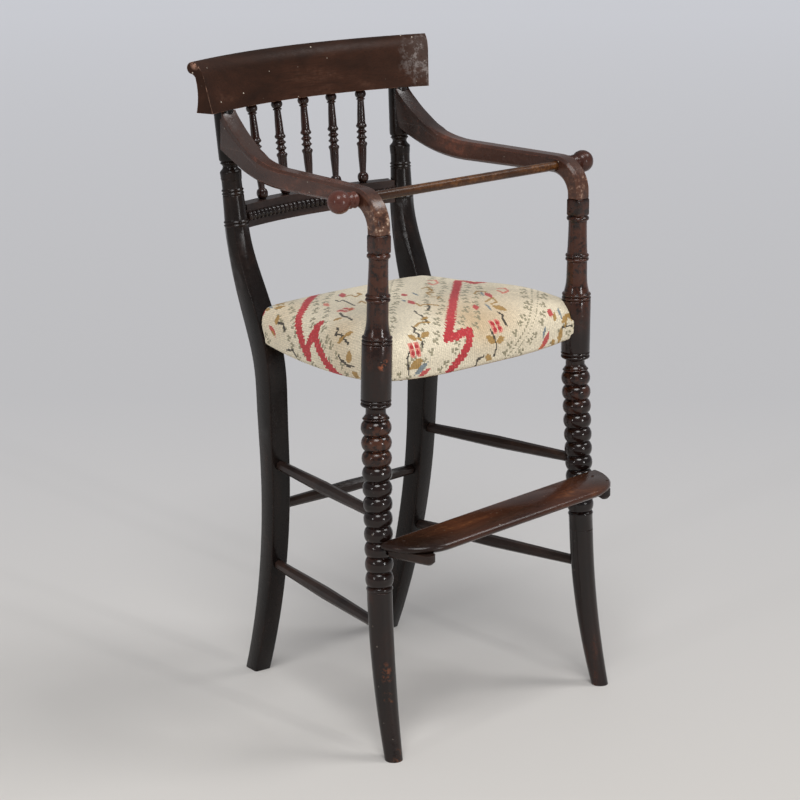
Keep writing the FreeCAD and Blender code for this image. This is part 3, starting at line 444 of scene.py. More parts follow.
for side, way in (("right", 1), ("left", -1)):
    piece = copied("arm_" + side, "scroll_arm_" + side, 28)
    open_mesh()
    bpy.ops.mesh.bisect(plane_co=arm_cut * MM, plane_no=cut_way, use_fill=True, clear_outer=True)
    bpy.ops.object.mode_set(mode="OBJECT")
    # The rear end is fuller than the saw line below it: it keeps rising to the underside of the crest rail.
    blocks = []
    for y, ridge in arm_line:
        under = min(ridge - swell_least, swell_under)
        middle = Vector((way * (arm_aside + arm_splay * (arm_end - y)), y, (ridge + under) / 2))
        blocks.append((middle, ridge - under))
    bpy.ops.object.select_all(action="DESELECT")
    bpy.ops.mesh.primitive_plane_add(size=1, location=blocks[0][0] * MM, rotation=(math.pi / 2, 0, 0))
    swell = bpy.context.object
    swell.scale = Vector((2 * arm_half, blocks[0][1], 1)) * MM
    fix_place()
    open_mesh()
    for (middle, depth), (next_middle, next_depth) in zip(blocks, blocks[1:]):
        bpy.ops.mesh.extrude_region_move(TRANSFORM_OT_translate={"value": (next_middle - middle) * MM})
        bpy.ops.transform.resize(value=(1, 1, next_depth / depth), center_override=next_middle * MM)
    close_mesh()
    eased = swell.modifiers.new("eased", "BEVEL")
    eased.width, eased.segments, eased.angle_limit = 1.6 * MM, 3, math.radians(50)
    bpy.ops.object.modifier_apply(modifier="eased")
    piece = joined([piece, swell])
    smooth(piece, 28)
    settle(piece, arm_wood, "chair_frame", "dark_stained_wood", "arm_" + side)


# Back rails: a deep crest rail with a rolled top, and a narrow cross rail, both curved in plan and redder
# than the posts. The crest rail has small pale knocks in its stain.

# The pale haze and flecks at the right end of the rail are a painted reflection. The small pale spot at the
# left end is a knock.
crest_wear_and_sheen = [((196, 166, 842), 44, "#9a918c", 0.1, 0.28), ((198, 166, 840), 50, "#aaa29e", 0.4, 0.5),
              ((-206, 186, 864), 9, "#c99a84", 0.8, 0.48)]
crest_wood = stained_wood("stained_crest_wood_with_sheen", "X", "#27170f", "#40261a", "#b08872", rough=0.42, rub=0.1,
                          edge=1.0, chips=0.9, rounding=1.6, wear_and_painted_light=crest_wear_and_sheen, shine=0.12)
rail_wood = stained_wood("stained_cross_rail_wood", "X", "#231815", "#47342e", "#5c3a2c", rough=0.34)
piece = copied("crest_rail", "rolled_crest_rail", 35)
# The rail has sunk a little at its left end, and its right end is sawn square to the floor.
crest_low, crest_rise, crest_half, end_start = 0.8, 0.07, 0.2068, 0.1
crest_sunk, crest_out = 0.003, 0.008
for corner in piece.data.vertices:
    up = (corner.co.z - crest_low) / crest_rise
    corner.co.z -= crest_sunk * up * (crest_half - corner.co.x) / (2 * crest_half)
    corner.co.x += crest_out * up * max(0, corner.co.x - end_start) / (crest_half - end_start)
settle(piece, crest_wood, "chair_frame", "dark_stained_wood", "crest_rail")
piece = copied("cross_rail", "curved_cross_rail", 35)
settle(piece, rail_wood, "chair_frame", "dark_stained_wood", "cross_rail")


# Bead moulding: a strip turned as a row of beads, split down its length and let into the front of the
# cross rail.

bead_count, bead_reach = 33, math.radians(13.4)
bead_size, bead_level, bead_radius = Vector((8.5, 12, 13.6)), 655, 561.6
rail_face, back_radius = 192, 560
bead_wood = stained_wood("stained_bead_wood", "Z", "#120c0b", "#2e201c", "#5a3628", rough=0.14, shine=0.45)
arc_middle = Vector((0, rail_face - back_radius, 0)) + SHIFT
bpy.ops.object.select_all(action="DESELECT")
bpy.ops.mesh.primitive_uv_sphere_add(segments=16, ring_count=10, radius=0.5)
pattern = bpy.context.object
pattern.scale = bead_size * MM
fix_place()
beads = []
for number in range(bead_count):
    angle = bead_reach * (2 * number / (bead_count - 1) - 1)
    ray = Vector((math.sin(angle), math.cos(angle), 0))
    seat = arc_middle + ray * bead_radius + Vector((0, 0, bead_level))
    one = twin(pattern)
    one.matrix_world = Matrix.Translation(seat * MM) @ Matrix.Rotation(-angle, 4, "Z")
    beads.append(one)
bpy.data.objects.remove(pattern)
row = joined(beads)
row.name = "split_bead_row"
fix_place()
smooth(row, 60)
settle(row, bead_wood, "chair_frame", "dark_stained_wood", "bead_moulding")


# Back spindles: five slender turnings between the rails, each with a ball at both ends and a knop of
# rings above its middle.

spindle_low, spindle_high = 671, 800
low_gap, high_gap = 45.5, 49
crest_face, low_set, high_set = 207, 12.6, 12.5
spindle_wood = stained_wood("stained_spindle_wood", "Z", "#140b09", "#341a12", "#6f3823", rough=0.17, rub=0.5,
                            shine=0.42)
for number in range(-2, 3):
    foot = Vector((number * low_gap, 0, spindle_low))
    foot.y = rail_face - back_radius + math.sqrt((back_radius + low_set) ** 2 - foot.x ** 2)
    crown = Vector((number * high_gap, 0, spindle_high))
    crown.y = crest_face - back_radius + math.sqrt((back_radius + high_set) ** 2 - crown.x ** 2)
    length = (crown - foot).length
    steps = [(4, 0.2), (5.2, 0.6)] + bead(0.8, 14, 7.9, 4.4, 10)
    steps += sweep([(4.4, 14.4), (4.8, 22), (5.8, 36), (6.2, 49)], 4)
    steps += sweep([(6.4, 50.6), (7.3, 52.8), (7.6, 54.8), (6.5, 56.4), (4.7, 57.4)], 3)
    for ring in (63, 71):
        steps += [(4.6, ring - 3.2), (5.3, ring - 2.4), (7.3, ring - 0.5), (7.3, ring + 0.5),
                  (5.3, ring + 2.4)]
    steps += [(4.6, 74.2), (4.6, 75.6)]
    steps += sweep([(4.8, 76), (6.8, 77.2), (7.7, 78.9), (7.2, 80.8), (6.2, 82.4), (5.9, 84.6)], 3)
    steps += sweep([(5.8, 85.4), (5.5, 96), (4.7, length - 17), (4.5, length - 15)], 4)
    steps += bead(length - 14.6, length - 11.8, 6.4, 4.4, 6)
    steps += bead(length - 11.6, length - 0.9, 7.9, 4.4, 10) + [(5.2, length - 0.6), (4, length - 0.2)]
    piece = turned("ringed_spindle_%d" % (number + 3), steps, foot + SHIFT, crown + SHIFT, 28)
    smooth(piece, 32)
    settle(piece, spindle_wood, "chair_frame", "dark_stained_wood", "back_spindle_%d" % (number + 3))


# Safety bar: a plain round bar through both arms, with a ball knob fixed on its left end and a loose one
# on its right end. Its stain is rubbed to golden brown.

bar_wood = stained_wood("rubbed_bar_wood", "X", "#241409", "#4b2d18", "#94602f", rough=0.26, rub=0.65,
                        edge=0.3)
knob_wood = stained_wood("waxed_knob_wood", "X", "#4e2b25", "#7b4b3c", "#9a6651", rough=0.22, rub=0.35,
                         edge=0.3)
end_wood = stained_wood("waxed_end_knob_wood", "X", "#2a1714", "#4a2c24", "#704838", rough=0.2, edge=0.3)
knob_length = 46
for node, name, wood in (("safety_bar", "round_safety_bar", bar_wood),
                         ("bar_end_knob", "loose_ball_knob", end_wood)):
    piece = copied(node, name, 40)
    settle(piece, wood, node, "bar_wood", node)
left_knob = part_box("safety_bar")[0].x + knob_length * MM
bar = bpy.data.objects["round_safety_bar"]
bar.data.materials.append(knob_wood)
for face in bar.data.polygons:
    if face.center.x < left_knob:
        face.material_index = 1


# Footrest: a board with a straight back and a bowed front, nailed on two brackets that are pegged into
# the front legs. Shoes have polished it and worn its front edge to bare wood.

# Two spots darken the board towards its ends, the left end more.
board_dark_ends = [((-196, -212, 292), 110, "#1c120e", 0.9, 0.3), ((190, -205, 302), 70, "#34241c", 0.6, 0.32)]
board_wood = stained_wood("worn_board_wood", "X", "#2f1a12", "#4e2d1f", "#b0713f", rough=0.2, rub=0.25,
                          edge=1.0, chips=0.3, rounding=3, wear_and_painted_light=board_dark_ends)
bracket_root, bracket_cut = -0.18, 0.011
bracket_wood = stained_wood("stained_bracket_wood", "Y", "#1a1210", "#33241d", "#5c3a29", rough=0.36)
piece = copied("footrest_board", "bowed_footrest_board", 50)
settle(piece, board_wood, "chair_frame", "dark_stained_wood", "footrest_board")
for side in ("right", "left"):
    piece = copied("footrest_bracket_" + side, "pegged_bracket_" + side, 40)
    if side == "right":
        # This bracket ends just past the board's edge.
        tip = min(corner.co.y for corner in piece.data.vertices)
        for corner in piece.data.vertices:
            corner.co.y += bracket_cut * max(0, (corner.co.y - bracket_root) / (tip - bracket_root))
    settle(piece, bracket_wood, "chair_frame", "dark_stained_wood", "footrest_bracket_" + side)


# Footrest nails: four cut iron nails with small flat heads, driven through the board into its brackets, two
# at each end.

iron, tree, shader = started("blackened_iron")
# Old iron: dark and dull, with rust in spots of about 1 mm.
rust_spot = 1 * MM
rusting = add(tree, "TexNoise", {"Vector": add(tree, "TexCoord", {}).outputs["Object"],
                                 "Scale": 1 / rust_spot, "Detail": 3.0})
rusted = add(tree, "Mix", {0: rusting, 6: colour("#1c1a19"), 7: colour("#4a2c1c")}, data_type="RGBA")
wire(shader, {"Base Color": rusted, "Metallic": 0.6, "Roughness": 0.5})
board_slope, board_end, board_top = 0.0402, 199.0, 307.8
nail_columns, nail_rows = (-173.5, 174.8), (-215, -188)


def iron_heads(name, radius, depth, places):
    """Nail heads with rounded rims, one at each place."""
    bpy.ops.object.select_all(action="DESELECT")
    bpy.ops.mesh.primitive_cylinder_add(vertices=12, radius=radius * MM, depth=depth * MM)
    pattern = bpy.context.object
    rim = pattern.modifiers.new("rim", "BEVEL")
    rim.width, rim.segments = 0.4 * depth * MM, 2
    bpy.ops.object.modifier_apply(modifier="rim")
    heads = []
    for place in places:
        one = twin(pattern)
        one.location = Vector(place) * MM
        heads.append(one)
    bpy.data.objects.remove(pattern)
    nails = joined(heads)
    nails.name = name
    fix_place()
    smooth(nails, 40)
    coat(nails, iron)
    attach(nails, "chair_frame")


iron_heads("board_nails", 2.0, 1.2, [(x, y, board_top - (board_end - x) * board_slope)
                                     for x in nail_columns for y in nail_rows])


# Seat webbing: six bands of jute webbing, three each way, laced over and under each other and tacked on
# top of the seat rails. They carry the stuffing and are seen only from below.

band_width, band_thickness, band_wave = 46, 1.2, 0.9
band_length, band_inset, web_level = 273, 7, 526.3
long_gap, cross_gap = 74, 72
front_half, seat_taper, front_line = 181.0, 0.1064, -127.3
wave_length = 0.314


def woven(name, spacing, wobble, wander, dark, pale, rough):
    """Plain weave of threads at a spacing in millimetres, drawn as two crossing waves. A wave texture of
    scale 1 has waves of wave_length."""
    material, tree, shader = started(name)
    place = add(tree, "TexCoord", {}).outputs["Object"]
    warp, weft = [add(tree, "TexWave", {"Vector": place, "Scale": wave_length / (spacing * MM),
                                        "Distortion": wobble, "Detail Scale": wander},
                      bands_direction=axis).outputs["Fac"] for axis in "XY"]
    threads = add(tree, "Math", {0: warp, 1: weft}, operation="MULTIPLY")
    yarn = add(tree, "Mix", {0: threads, 6: colour(dark), 7: colour(pale)}, data_type="RGBA")
    weave = add(tree, "Bump", {"Height": threads, "Strength": 0.6, "Distance": 0.4 * MM})
    wire(shader, {"Base Color": yarn, "Normal": weave, "Roughness": rough})
    return material


# Jute webbing: coarse matt threads about 1.6 mm apart, straw brown with darker hollows.
jute = woven("jute_webbing", 1.6, 0.4, 1.0, "#7d6038", "#b8935c", 0.9)


def half_seat(y):
    """Half width of the seat frame at a place from front to back."""
    return front_half - seat_taper * (y - front_line)


def read_spots(piece):
    """Places of a mesh's points, in metres."""
    spots = np.empty(len(piece.data.vertices) * 3)
    piece.data.vertices.foreach_get("co", spots)
    return spots.reshape(-1, 3)


def put_spots(piece, spots):
    """Moves a mesh's points to places in millimetres."""
    piece.data.vertices.foreach_set("co", (spots * MM).ravel())


def thicken(piece, thickness):
    """Gives a sheet its thickness, half to each side."""
    thick = piece.modifiers.new("thick", "SOLIDIFY")
    thick.thickness, thick.offset = thickness * MM, 0
    bpy.ops.object.modifier_apply(modifier="thick")


def cloth_band(name, length, middle, turn, phase, gap):
    """A band that waves over and under the bands it crosses."""
    bpy.ops.object.select_all(action="DESELECT")
    bpy.ops.mesh.primitive_grid_add(x_subdivisions=48, y_subdivisions=4, size=1)
    band = bpy.context.object
    band.name = name
    spots = read_spots(band) * (length, band_width, 0)
    wave = phase * band_wave * np.cos(np.pi * spots[:, 0] / gap)
    spots[:, 2] = np.where(np.abs(spots[:, 0]) < 1.5 * gap, wave, 0)
    put_spots(band, spots)
    band.matrix_world = Matrix.Translation(Vector(middle) * MM) @ Matrix.Rotation(turn, 4, "Z")
    fix_place()
    thicken(band, band_thickness)
    smooth(band, 40)
    return band


bands = []
for number, along in enumerate((-long_gap, 0, long_gap)):
    phase = 1 if number % 2 else -1
    band = cloth_band("web_band_long_%d" % (number + 1), band_length, (along, -8.2, web_level), math.pi / 2,
                      phase, cross_gap)
    bands.append(band)
for number, across in enumerate((-81.7, -9.7, 62.3)):
    phase = -1 if number % 2 else 1
    length = 2 * (half_seat(across + band_width / 2) - band_inset)
    band = cloth_band("web_band_cross_%d" % (number + 1), length, (0, across, web_level), 0, phase, long_gap)
    bands.append(band)
for band in bands:
    settle(band, jute, "chair_frame", "webbing", "seat_webbing")


# Base cloth: one piece of hessian, stretched over the webbing and tacked to the rails, with its corners
# cut out round the legs and posts.

cloth_level, cloth_thickness, cloth_inset = 528.6, 0.8, 8
front_edge, rear_edge = -142, 125
leg_hole, leg_hole_radius, post_notch = (180.4, -145.1), 25, (118, 92)
# Hessian: a loose plain weave of about 1.3 mm, with uneven threads and dark gaps between them.
hessian = woven("hessian_base_cloth", 1.3, 0.8, 0.5, "#5e4a2e", "#a98a5c", 0.95)


def cut_away(piece, faces):
    """Cuts the marked faces out of a mesh."""
    bpy.ops.object.mode_set(mode="EDIT")
    bpy.ops.mesh.select_mode(type="FACE")
    bpy.ops.mesh.select_all(action="DESELECT")
    bpy.ops.object.mode_set(mode="OBJECT")
    piece.data.polygons.foreach_set("select", faces)
    bpy.ops.object.mode_set(mode="EDIT")
    bpy.ops.mesh.delete(type="FACE")
    bpy.ops.mesh.select_mode(type="VERT")
    bpy.ops.object.mode_set(mode="OBJECT")


bpy.ops.object.select_all(action="DESELECT")
bpy.ops.mesh.primitive_grid_add(x_subdivisions=44, y_subdivisions=34, size=2)
base_cloth = bpy.context.object
base_cloth.name = "hessian_cloth"
spots = read_spots(base_cloth)
depths = front_edge + (spots[:, 1] + 1) / 2 * (rear_edge - front_edge)
aside = spots[:, 0] * (half_seat(depths) - cloth_inset)
put_spots(base_cloth, np.stack([aside, depths, np.full(len(depths), cloth_level)], -1))
middles = np.array([face.center for face in base_cloth.data.polygons]) / MM
aside = np.abs(middles[:, 0])
by_leg = np.hypot(aside - leg_hole[0], middles[:, 1] - leg_hole[1]) < leg_hole_radius
cut_away(base_cloth, by_leg | ((aside > post_notch[0]) & (middles[:, 1] > post_notch[1])))
thicken(base_cloth, cloth_thickness)
settle(base_cloth, hessian, "chair_frame", "hessian", "seat_base_cloth")


# Seat cover: needlework on canvas in wool, drawn tight over the stuffing, cut round the legs and posts and
# turned under the rails. One face of the mesh is one stitch, so the pattern is worked stitch by stitch.

rail_front, rail_rear, seat_middle, flat_inset = -150.67, 134.33, -8.0, 75
# Distance outside the rail and height, from the turned-under border to the flat of the top.
edge_run = np.array([(-13, -1.0), (-1, -1.6), (1.8, -1.2), (2.2, 3), (2.4, 12), (2.8, 24), (2.6, 34),
                     (0.6, 43), (-5.5, 51.5), (-17, 60.5), (-40, 68), (-flat_inset, 72)])
rear_run = edge_run.copy()
rear_run[:, 0] = np.minimum(rear_run[:, 0], 3)
crown_height, crown_reach = 75.5, 60
rear_fall, fall_start = 7.0, 150
side_full, full_place, full_reach = 6, (160, -60), (45, 75)
post_face, post_back, face_inset = 124.5 + SHIFT.y, 58, 20.4
post_inner, inner_lean, inner_inset = 122, 0.043, 17.0
bend_low, bend_height = 440, 220
leg_clear = 20.0
cells, stitches = (62, 52), 4


def lengths(run):
    """Distances along an edge from the border to each of its points."""
    return np.concatenate([[0], np.cumsum(np.hypot(*np.diff(run, axis=0).T))])


side_length, rear_length = lengths(edge_run), lengths(rear_run)
front_part = side_length[-1] + seat_middle - rail_front - flat_inset
canvas_length = front_part + rear_length[-1] + rail_rear - seat_middle - flat_inset


def inset(reach, run, length):
    """How far inside the rail the canvas lies, at a distance along it from its border."""
    return np.where(reach > length[-1], flat_inset + reach - length[-1], np.interp(reach, length, -run[:, 0]))


def rise(reach, run, length):
    """Height of the canvas over the rails' underside, at a distance along it from its border."""
    flat = run[-1, 1]
    domed = flat + (crown_height - flat) * (1 - np.exp(-(reach - length[-1]) / crown_reach))
    return np.where(reach > length[-1], domed, np.interp(reach, length, run[:, 1]))


def depth_at(b):
    """Place from front to back of a canvas row."""
    return np.where(b < front_part, rail_front + inset(b, edge_run, side_length),
                    rail_rear - inset(canvas_length - b, rear_run, rear_length))


def half_canvas(b):
    """Half width of the flat canvas at a row."""
    return side_length[-1] + half_seat(depth_at(b)) - flat_inset


def laid(across, b):
    """Place in the chair of canvas points: across is from -1 to 1, b is a distance from the front border."""
    y = depth_at(b)
    reach = half_canvas(b) * (1 - np.abs(across))
    x = np.sign(across) * (half_seat(y) - inset(reach, edge_run, side_length))
    side = rise(reach, edge_run, side_length)
    end = np.where(b < front_part, rise(b, edge_run, side_length),
                   rise(canvas_length - b, rear_run, rear_length))
    blend = 9.0
    share = np.clip(0.5 + 0.5 * (end - side) / blend, 0, 1)
    height = end + (side - end) * share - blend * share * (1 - share)
    fall = rear_fall * np.clip((b - fall_start) / (canvas_length - fall_start), 0, 1) ** 0.8
    off_full = ((np.abs(x) - full_place[0]) / full_reach[0]) ** 2 + ((y - full_place[1]) / full_reach[1]) ** 2
    fuller = side_full * np.exp(-off_full) * np.clip(height / 50, 0, 1)
    return np.stack([x, y, rail_under + height + corner_rise(x, y, height) + fuller
                     - fall * np.clip(height / crown_height, 0, 1)], -1)


def leg_distance(spots):
    """Distance of points from the axis of the front leg on their side, and the way out of it."""
    share = (spots[:, 2:] - leg_neck.z) / (arm_joint.z - leg_neck.z)
    axis = np.array(leg_neck.xy) + share * np.array((arm_joint - leg_neck).xy)
    out = spots[:, :2] * np.stack([np.where(spots[:, 0] < 0, -1, 1), np.ones(len(spots))], -1) - axis
    return np.hypot(*out.T), out


def post_depth(spots):
    """How far points are behind the front face and outside the inner face of the rear post on their side."""
    lift = np.clip((spots[:, 2] - bend_low) / bend_height, 0, 1)
    front = post_face + post_back * lift * lift * (3 - 2 * lift) - face_inset
    inner = post_inner + inner_lean * spots[:, 2] - inner_inset
    return spots[:, 1] - front, np.abs(spots[:, 0]) - inner


def kept_out(spots):
    """Pushes points out of the front legs and rear posts."""
    spots = spots.copy()
    distance, out = leg_distance(spots)
    push = np.where(distance < leg_clear, leg_clear / np.maximum(distance, 0.1) - 1, 0)[:, None] * out
    spots[:, 0] += np.where(spots[:, 0] < 0, -1, 1) * push[:, 0]
    spots[:, 1] += push[:, 1]
    behind, outside = post_depth(spots)
    inside = (behind > 0) & (outside > 0)
    forward = inside & (behind < outside)
    inward = inside & ~forward
    spots[forward, 1] -= behind[forward]
    spots[inward, 0] -= np.sign(spots[inward, 0]) * outside[inward]
    return spots


bpy.ops.object.select_all(action="DESELECT")
bpy.ops.mesh.primitive_grid_add(x_subdivisions=cells[0], y_subdivisions=cells[1], size=2)
cover = bpy.context.object
cover.name = "needlework_cover"
grid = read_spots(cover)
# The map counts stitches, with a whole number at the middle of each stitch.
corners = [loop.vertex_index for loop in cover.data.loops]
chart = (grid[corners, :2] + 1) / 2 * np.array(cells) * stitches - 0.5
cover.data.uv_layers.active.data.foreach_set("uv", chart.ravel())
put_spots(cover, laid(grid[:, 0], canvas_length * (grid[:, 1] + 1) / 2))
cover.data.update()
# The canvas is cut out for the legs and posts, and outside each leg further in at the top and bottom.
hole, corner_cut, notch, corner_way = 17, 34, 4, (0.7, -0.7)
tuck_depth, tuck_level, tuck_reach = 9, 525, 30
middles = np.array([face.center for face in cover.data.polygons]) / MM
behind, outside = post_depth(middles)
distance, out = leg_distance(middles)
tuck = -tuck_depth * ((middles[:, 2] - tuck_level) / tuck_reach) ** 2
by_corner = (distance < corner_cut) & (out @ corner_way > tuck)
cut_away(cover, (distance < hole) | by_corner | ((behind > notch) & (outside > notch)))
spots = kept_out(read_spots(cover) / MM)
put_spots(cover, spots)

# The stuffing presses the canvas out between its fixed border and the legs.
border_held, leg_held, post_held, most_move, press_frames = 14, 26, -7, 2.0, 20
held = cover.vertex_groups.new(name="held")
distance = leg_distance(spots)[0]
behind, outside = post_depth(spots)
fixed = (spots[:, 2] < rail_under + border_held) | (distance < leg_held)
fixed |= (behind > post_held) & (outside > post_held)
held.add([int(number) for number in np.flatnonzero(fixed)], 1.0, "REPLACE")
pressing = cover.modifiers.new("stuffing", "CLOTH").settings
pressing.use_pressure = True
pressing.uniform_pressure_force = 4
pressing.effector_weights.gravity = 0
pressing.vertex_group_mass = "held"
pressing.tension_stiffness = pressing.compression_stiffness = 60
pressing.shear_stiffness = 30
for moment in range(1, press_frames + 1):
    bpy.context.scene.frame_set(moment)
pick(cover)
bpy.ops.object.modifier_apply(modifier="stuffing")
bpy.context.scene.frame_set(1)
moved = read_spots(cover) / MM - spots
size = np.linalg.norm(moved, axis=1, keepdims=True)
put_spots(cover, spots + moved * np.minimum(1, most_move / np.maximum(size, 1e-6)))
finer = cover.modifiers.new("finer", "SUBSURF")
finer.levels = finer.render_levels = 2
finer.uv_smooth = "NONE"
bpy.ops.object.modifier_apply(modifier="finer")
put_spots(cover, kept_out(read_spots(cover) / MM))
cover.data.update()

# Pattern, in millimetres on the flat canvas: a across from the middle, b back from the front border.
chart = np.empty(len(cover.data.loops) * 2)
cover.data.uv_layers.active.data.foreach_get("uv", chart)
chart = chart.reshape(-1, 4, 2).mean(1) + 0.5
b = chart[:, 1] / (cells[1] * stitches) * canvas_length
a = (chart[:, 0] / (cells[0] * stitches) * 2 - 1) * half_canvas(b)
chance = np.random.default_rng(7)
wool = np.tile(colour("#eadec4")[:3], (len(a), 1))
# The motifs repeat by this step, from these places across and back on.
repeat, repeat_a, repeat_b = np.array((141.0, -139.0)), 165, 320


def work(mask, code, strength=1.0):
    """Works the stitches of a mask in one colour of wool."""
    share = np.clip(mask * strength, 0, 1)[:, None]
    wool[:] = wool * (1 - share) + np.array(colour(code)[:3]) * share


def line(path):
    """Distance of each stitch from a path."""
    nearest = np.full(len(a), 1e9)
    for (a0, b0), (a1, b1) in zip(path, path[1:]):
        run = np.array((a1 - a0, b1 - b0))
        share = np.clip(((a - a0) * run[0] + (b - b0) * run[1]) / (run @ run), 0, 1)
        nearest = np.minimum(nearest, np.hypot(a - a0 - share * run[0], b - b0 - share * run[1]))
    return nearest


def leaf(tip, root, width):
    """A leaf from root to tip, widest at its middle."""
    run = np.array(tip, float) - root
    size = np.hypot(*run)
    along = ((a - root[0]) * run[0] + (b - root[1]) * run[1]) / size
    across = ((a - root[0]) * run[1] - (b - root[1]) * run[0]) / size
    widest = width / 2 * np.sin(np.pi * np.clip(along / size, 0, 1))
    return (np.abs(across) < widest) & (along > 0) & (along < size)


def flower(place, clear):
    """Four petals round a cross of ground, each pink with a red heart."""
    petal, petal_half, petal_reach, heart, heart_radius = 5.0, 4.5, 7.4, 4.2, 3.3
    for sa in (-1, 1):
        for sb in (-1, 1):
            da, db = np.abs(a - place[0] - petal * sa), np.abs(b - place[1] - petal * sb)
            work((np.maximum(da, db) < petal_half) & (da + db < petal_reach), "#e08a7a", clear)
            from_heart = np.hypot(a - place[0] - heart * sa, b - place[1] - heart * sb)
            work(from_heart < heart_radius, "#b52832", clear)


def repeats(path):
    """A motif's path, and its repeats where the pattern goes on."""
    yield path
    for turn in (-2, -1, 1, 2):
        beyond = [tuple(np.array(spot) + turn * repeat) for spot in path]
        if beyond[0][0] > repeat_a or beyond[0][1] > repeat_b:
            yield beyond


# Old dust has browned the ground unevenly.
for a0, b0, size, strength in ((-8, 92, 26, 0.42), (0, 62, 20, 0.3), (42, 78, 26, 0.28),
                               (-170, 158, 20, 0.32), (-150, 296, 26, 0.25), (90, 110, 40, 0.14),
                               (-215, 140, 24, 0.2), (20, 130, 34, 0.22)):
    work(np.exp(-((a - a0) ** 2 + (b - b0) ** 2) / (2 * size ** 2)), "#b58a4e", strength)

# Olive sprigs of three leaves fill the ground in rows beside the ribbons, not quite evenly.
right = 0.71 * a - 0.70 * b
down = -0.70 * a - 0.71 * b
lane_start, lane_width, step = 86, 199, 16.0
lane = np.mod(right + lane_start, lane_width)
for row, start in ((14, 0), (30, 8), (94, 3), (121, 9), (163, 2), (181, 10)):
    count = np.floor((down + start) / step)
    place = np.mod(down + start, step) - step / 2 + 2.4 * np.sin(3.7 * count + row)
    side = lane - row + 2.6 * np.sin(5.3 * count + 1.7 * row)
    for dp, dq in ((-3.2, 1.0), (3.0, 1.8), (0.2, -3.6)):
        work(np.hypot(side - dp, (place - dq) * 1.1) < 2.2, "#908a70", 0.88)
    work((np.abs(side + 0.6 * place) < 0.9) & (np.abs(place) < 4.6), "#7d775c", 0.8)
for edge in (103, 111):
    work((np.abs(lane - edge) < 1.1) & (np.mod(down, 6) < 3.6), "#857f64", 0.8)

red, pink, tan, black, blue, rust = "#bd2a36", "#df8270", "#a9813c", "#1f1d1c", "#6d7e88", "#c8602e"
ribbons = [[(-40, 346), (-84, 312), (-128, 277), (-156, 260), (-180, 240), (-197, 230), (-210, 220)],
           [(-210, 220), (-197, 222), (-182, 213), (-163, 209)],
           [(-163, 209), (-181, 206), (-196, 196), (-211, 183), (-226, 161), (-240, 140)],
           [(122, 196), (107, 197), (112, 217), (107, 228), (45, 169), (-20, 107), (-63, 63), (-44, 64),
            (-20, 67), (-28, 49), (-40, 36), (-59, 20), (-84, -10)], [(248, 89), (186, 30), (120, -36)]]
for path in ribbons:
    teeth = np.where(np.mod(down, 7) < 3.5, 5.0, 6.7)
    work(line(path) < teeth, red)
    work((line(path) < 6) & (chance.random(len(a)) < 0.1), "#cf4d50")
for place, clear in (((-121, 57), 1.0), ((27, 65), 1.0), ((168, -73), 1.0), ((-122, 201), 0.85),
                     ((19, 340), 0.8)):
    flower(place, clear)
stems = [[(-93, 255), (-96, 244), (-88, 246), (-94, 226), (-101, 206)],
         [(-135, 198), (-143, 184), (-145, 169), (-150, 157)],
         [(-168, 169), (-172, 163), (-178, 166), (-177, 153), (-181, 147), (-186, 134)],
         [(-203, 150), (-208, 146), (-210, 138), (-214, 133), (-214, 118)],
         [(-168, 298), (-168, 284), (-178, 275)], [(-206, 271), (-204, 256), (-213, 249)],
         [(-27, 146), (-33, 136), (-44, 126)], [(-62, 133), (-67, 122), (-66, 116), (-69, 107), (-74, 93)],
         [(-102, 94), (-100, 88), (-107, 83), (-103, 77), (-107, 71), (-104, 67), (-107, 59)],
         [(-131, 55), (-136, 48), (-133, 24)], [(45, 86), (49, 79), (44, 74), (45, 63)],
         [(15, 62), (17, 55), (19, 47), (22, 39), (18, 26)], [(-1, 28), (-12, 26), (-15, 14)],
         [(146, 41), (166, 39)]]
swirls = [[(-72, 260), (-59, 263), (-64, 247), (-47, 256)],
          [(31, 219), (44, 223), (30, 198), (16, 195), (10, 180)],
          [(-36, 161), (-42, 144), (-32, 147), (-20, 134)], [(-99, 92), (-82, 99), (-70, 95)],
          [(50, 115), (70, 123), (64, 108), (52, 106)], [(-88, 214), (-76, 222), (-82, 206)],
          [(2, 172), (12, 164), (2, 158)], [(60, 148), (74, 156), (80, 144)]]
loops = [[(77, 256), (86, 252), (73, 233), (58, 228), (64, 242)],
         [(104, 149), (116, 147), (109, 133), (96, 129), (97, 140)]]
for paths, code, width in ((stems, black, 1.5), (swirls, tan, 1.7), (loops, pink, 1.9)):
    for path in paths:
        for drawn in repeats(path):
            work(line(drawn) < width, code, 0.94)
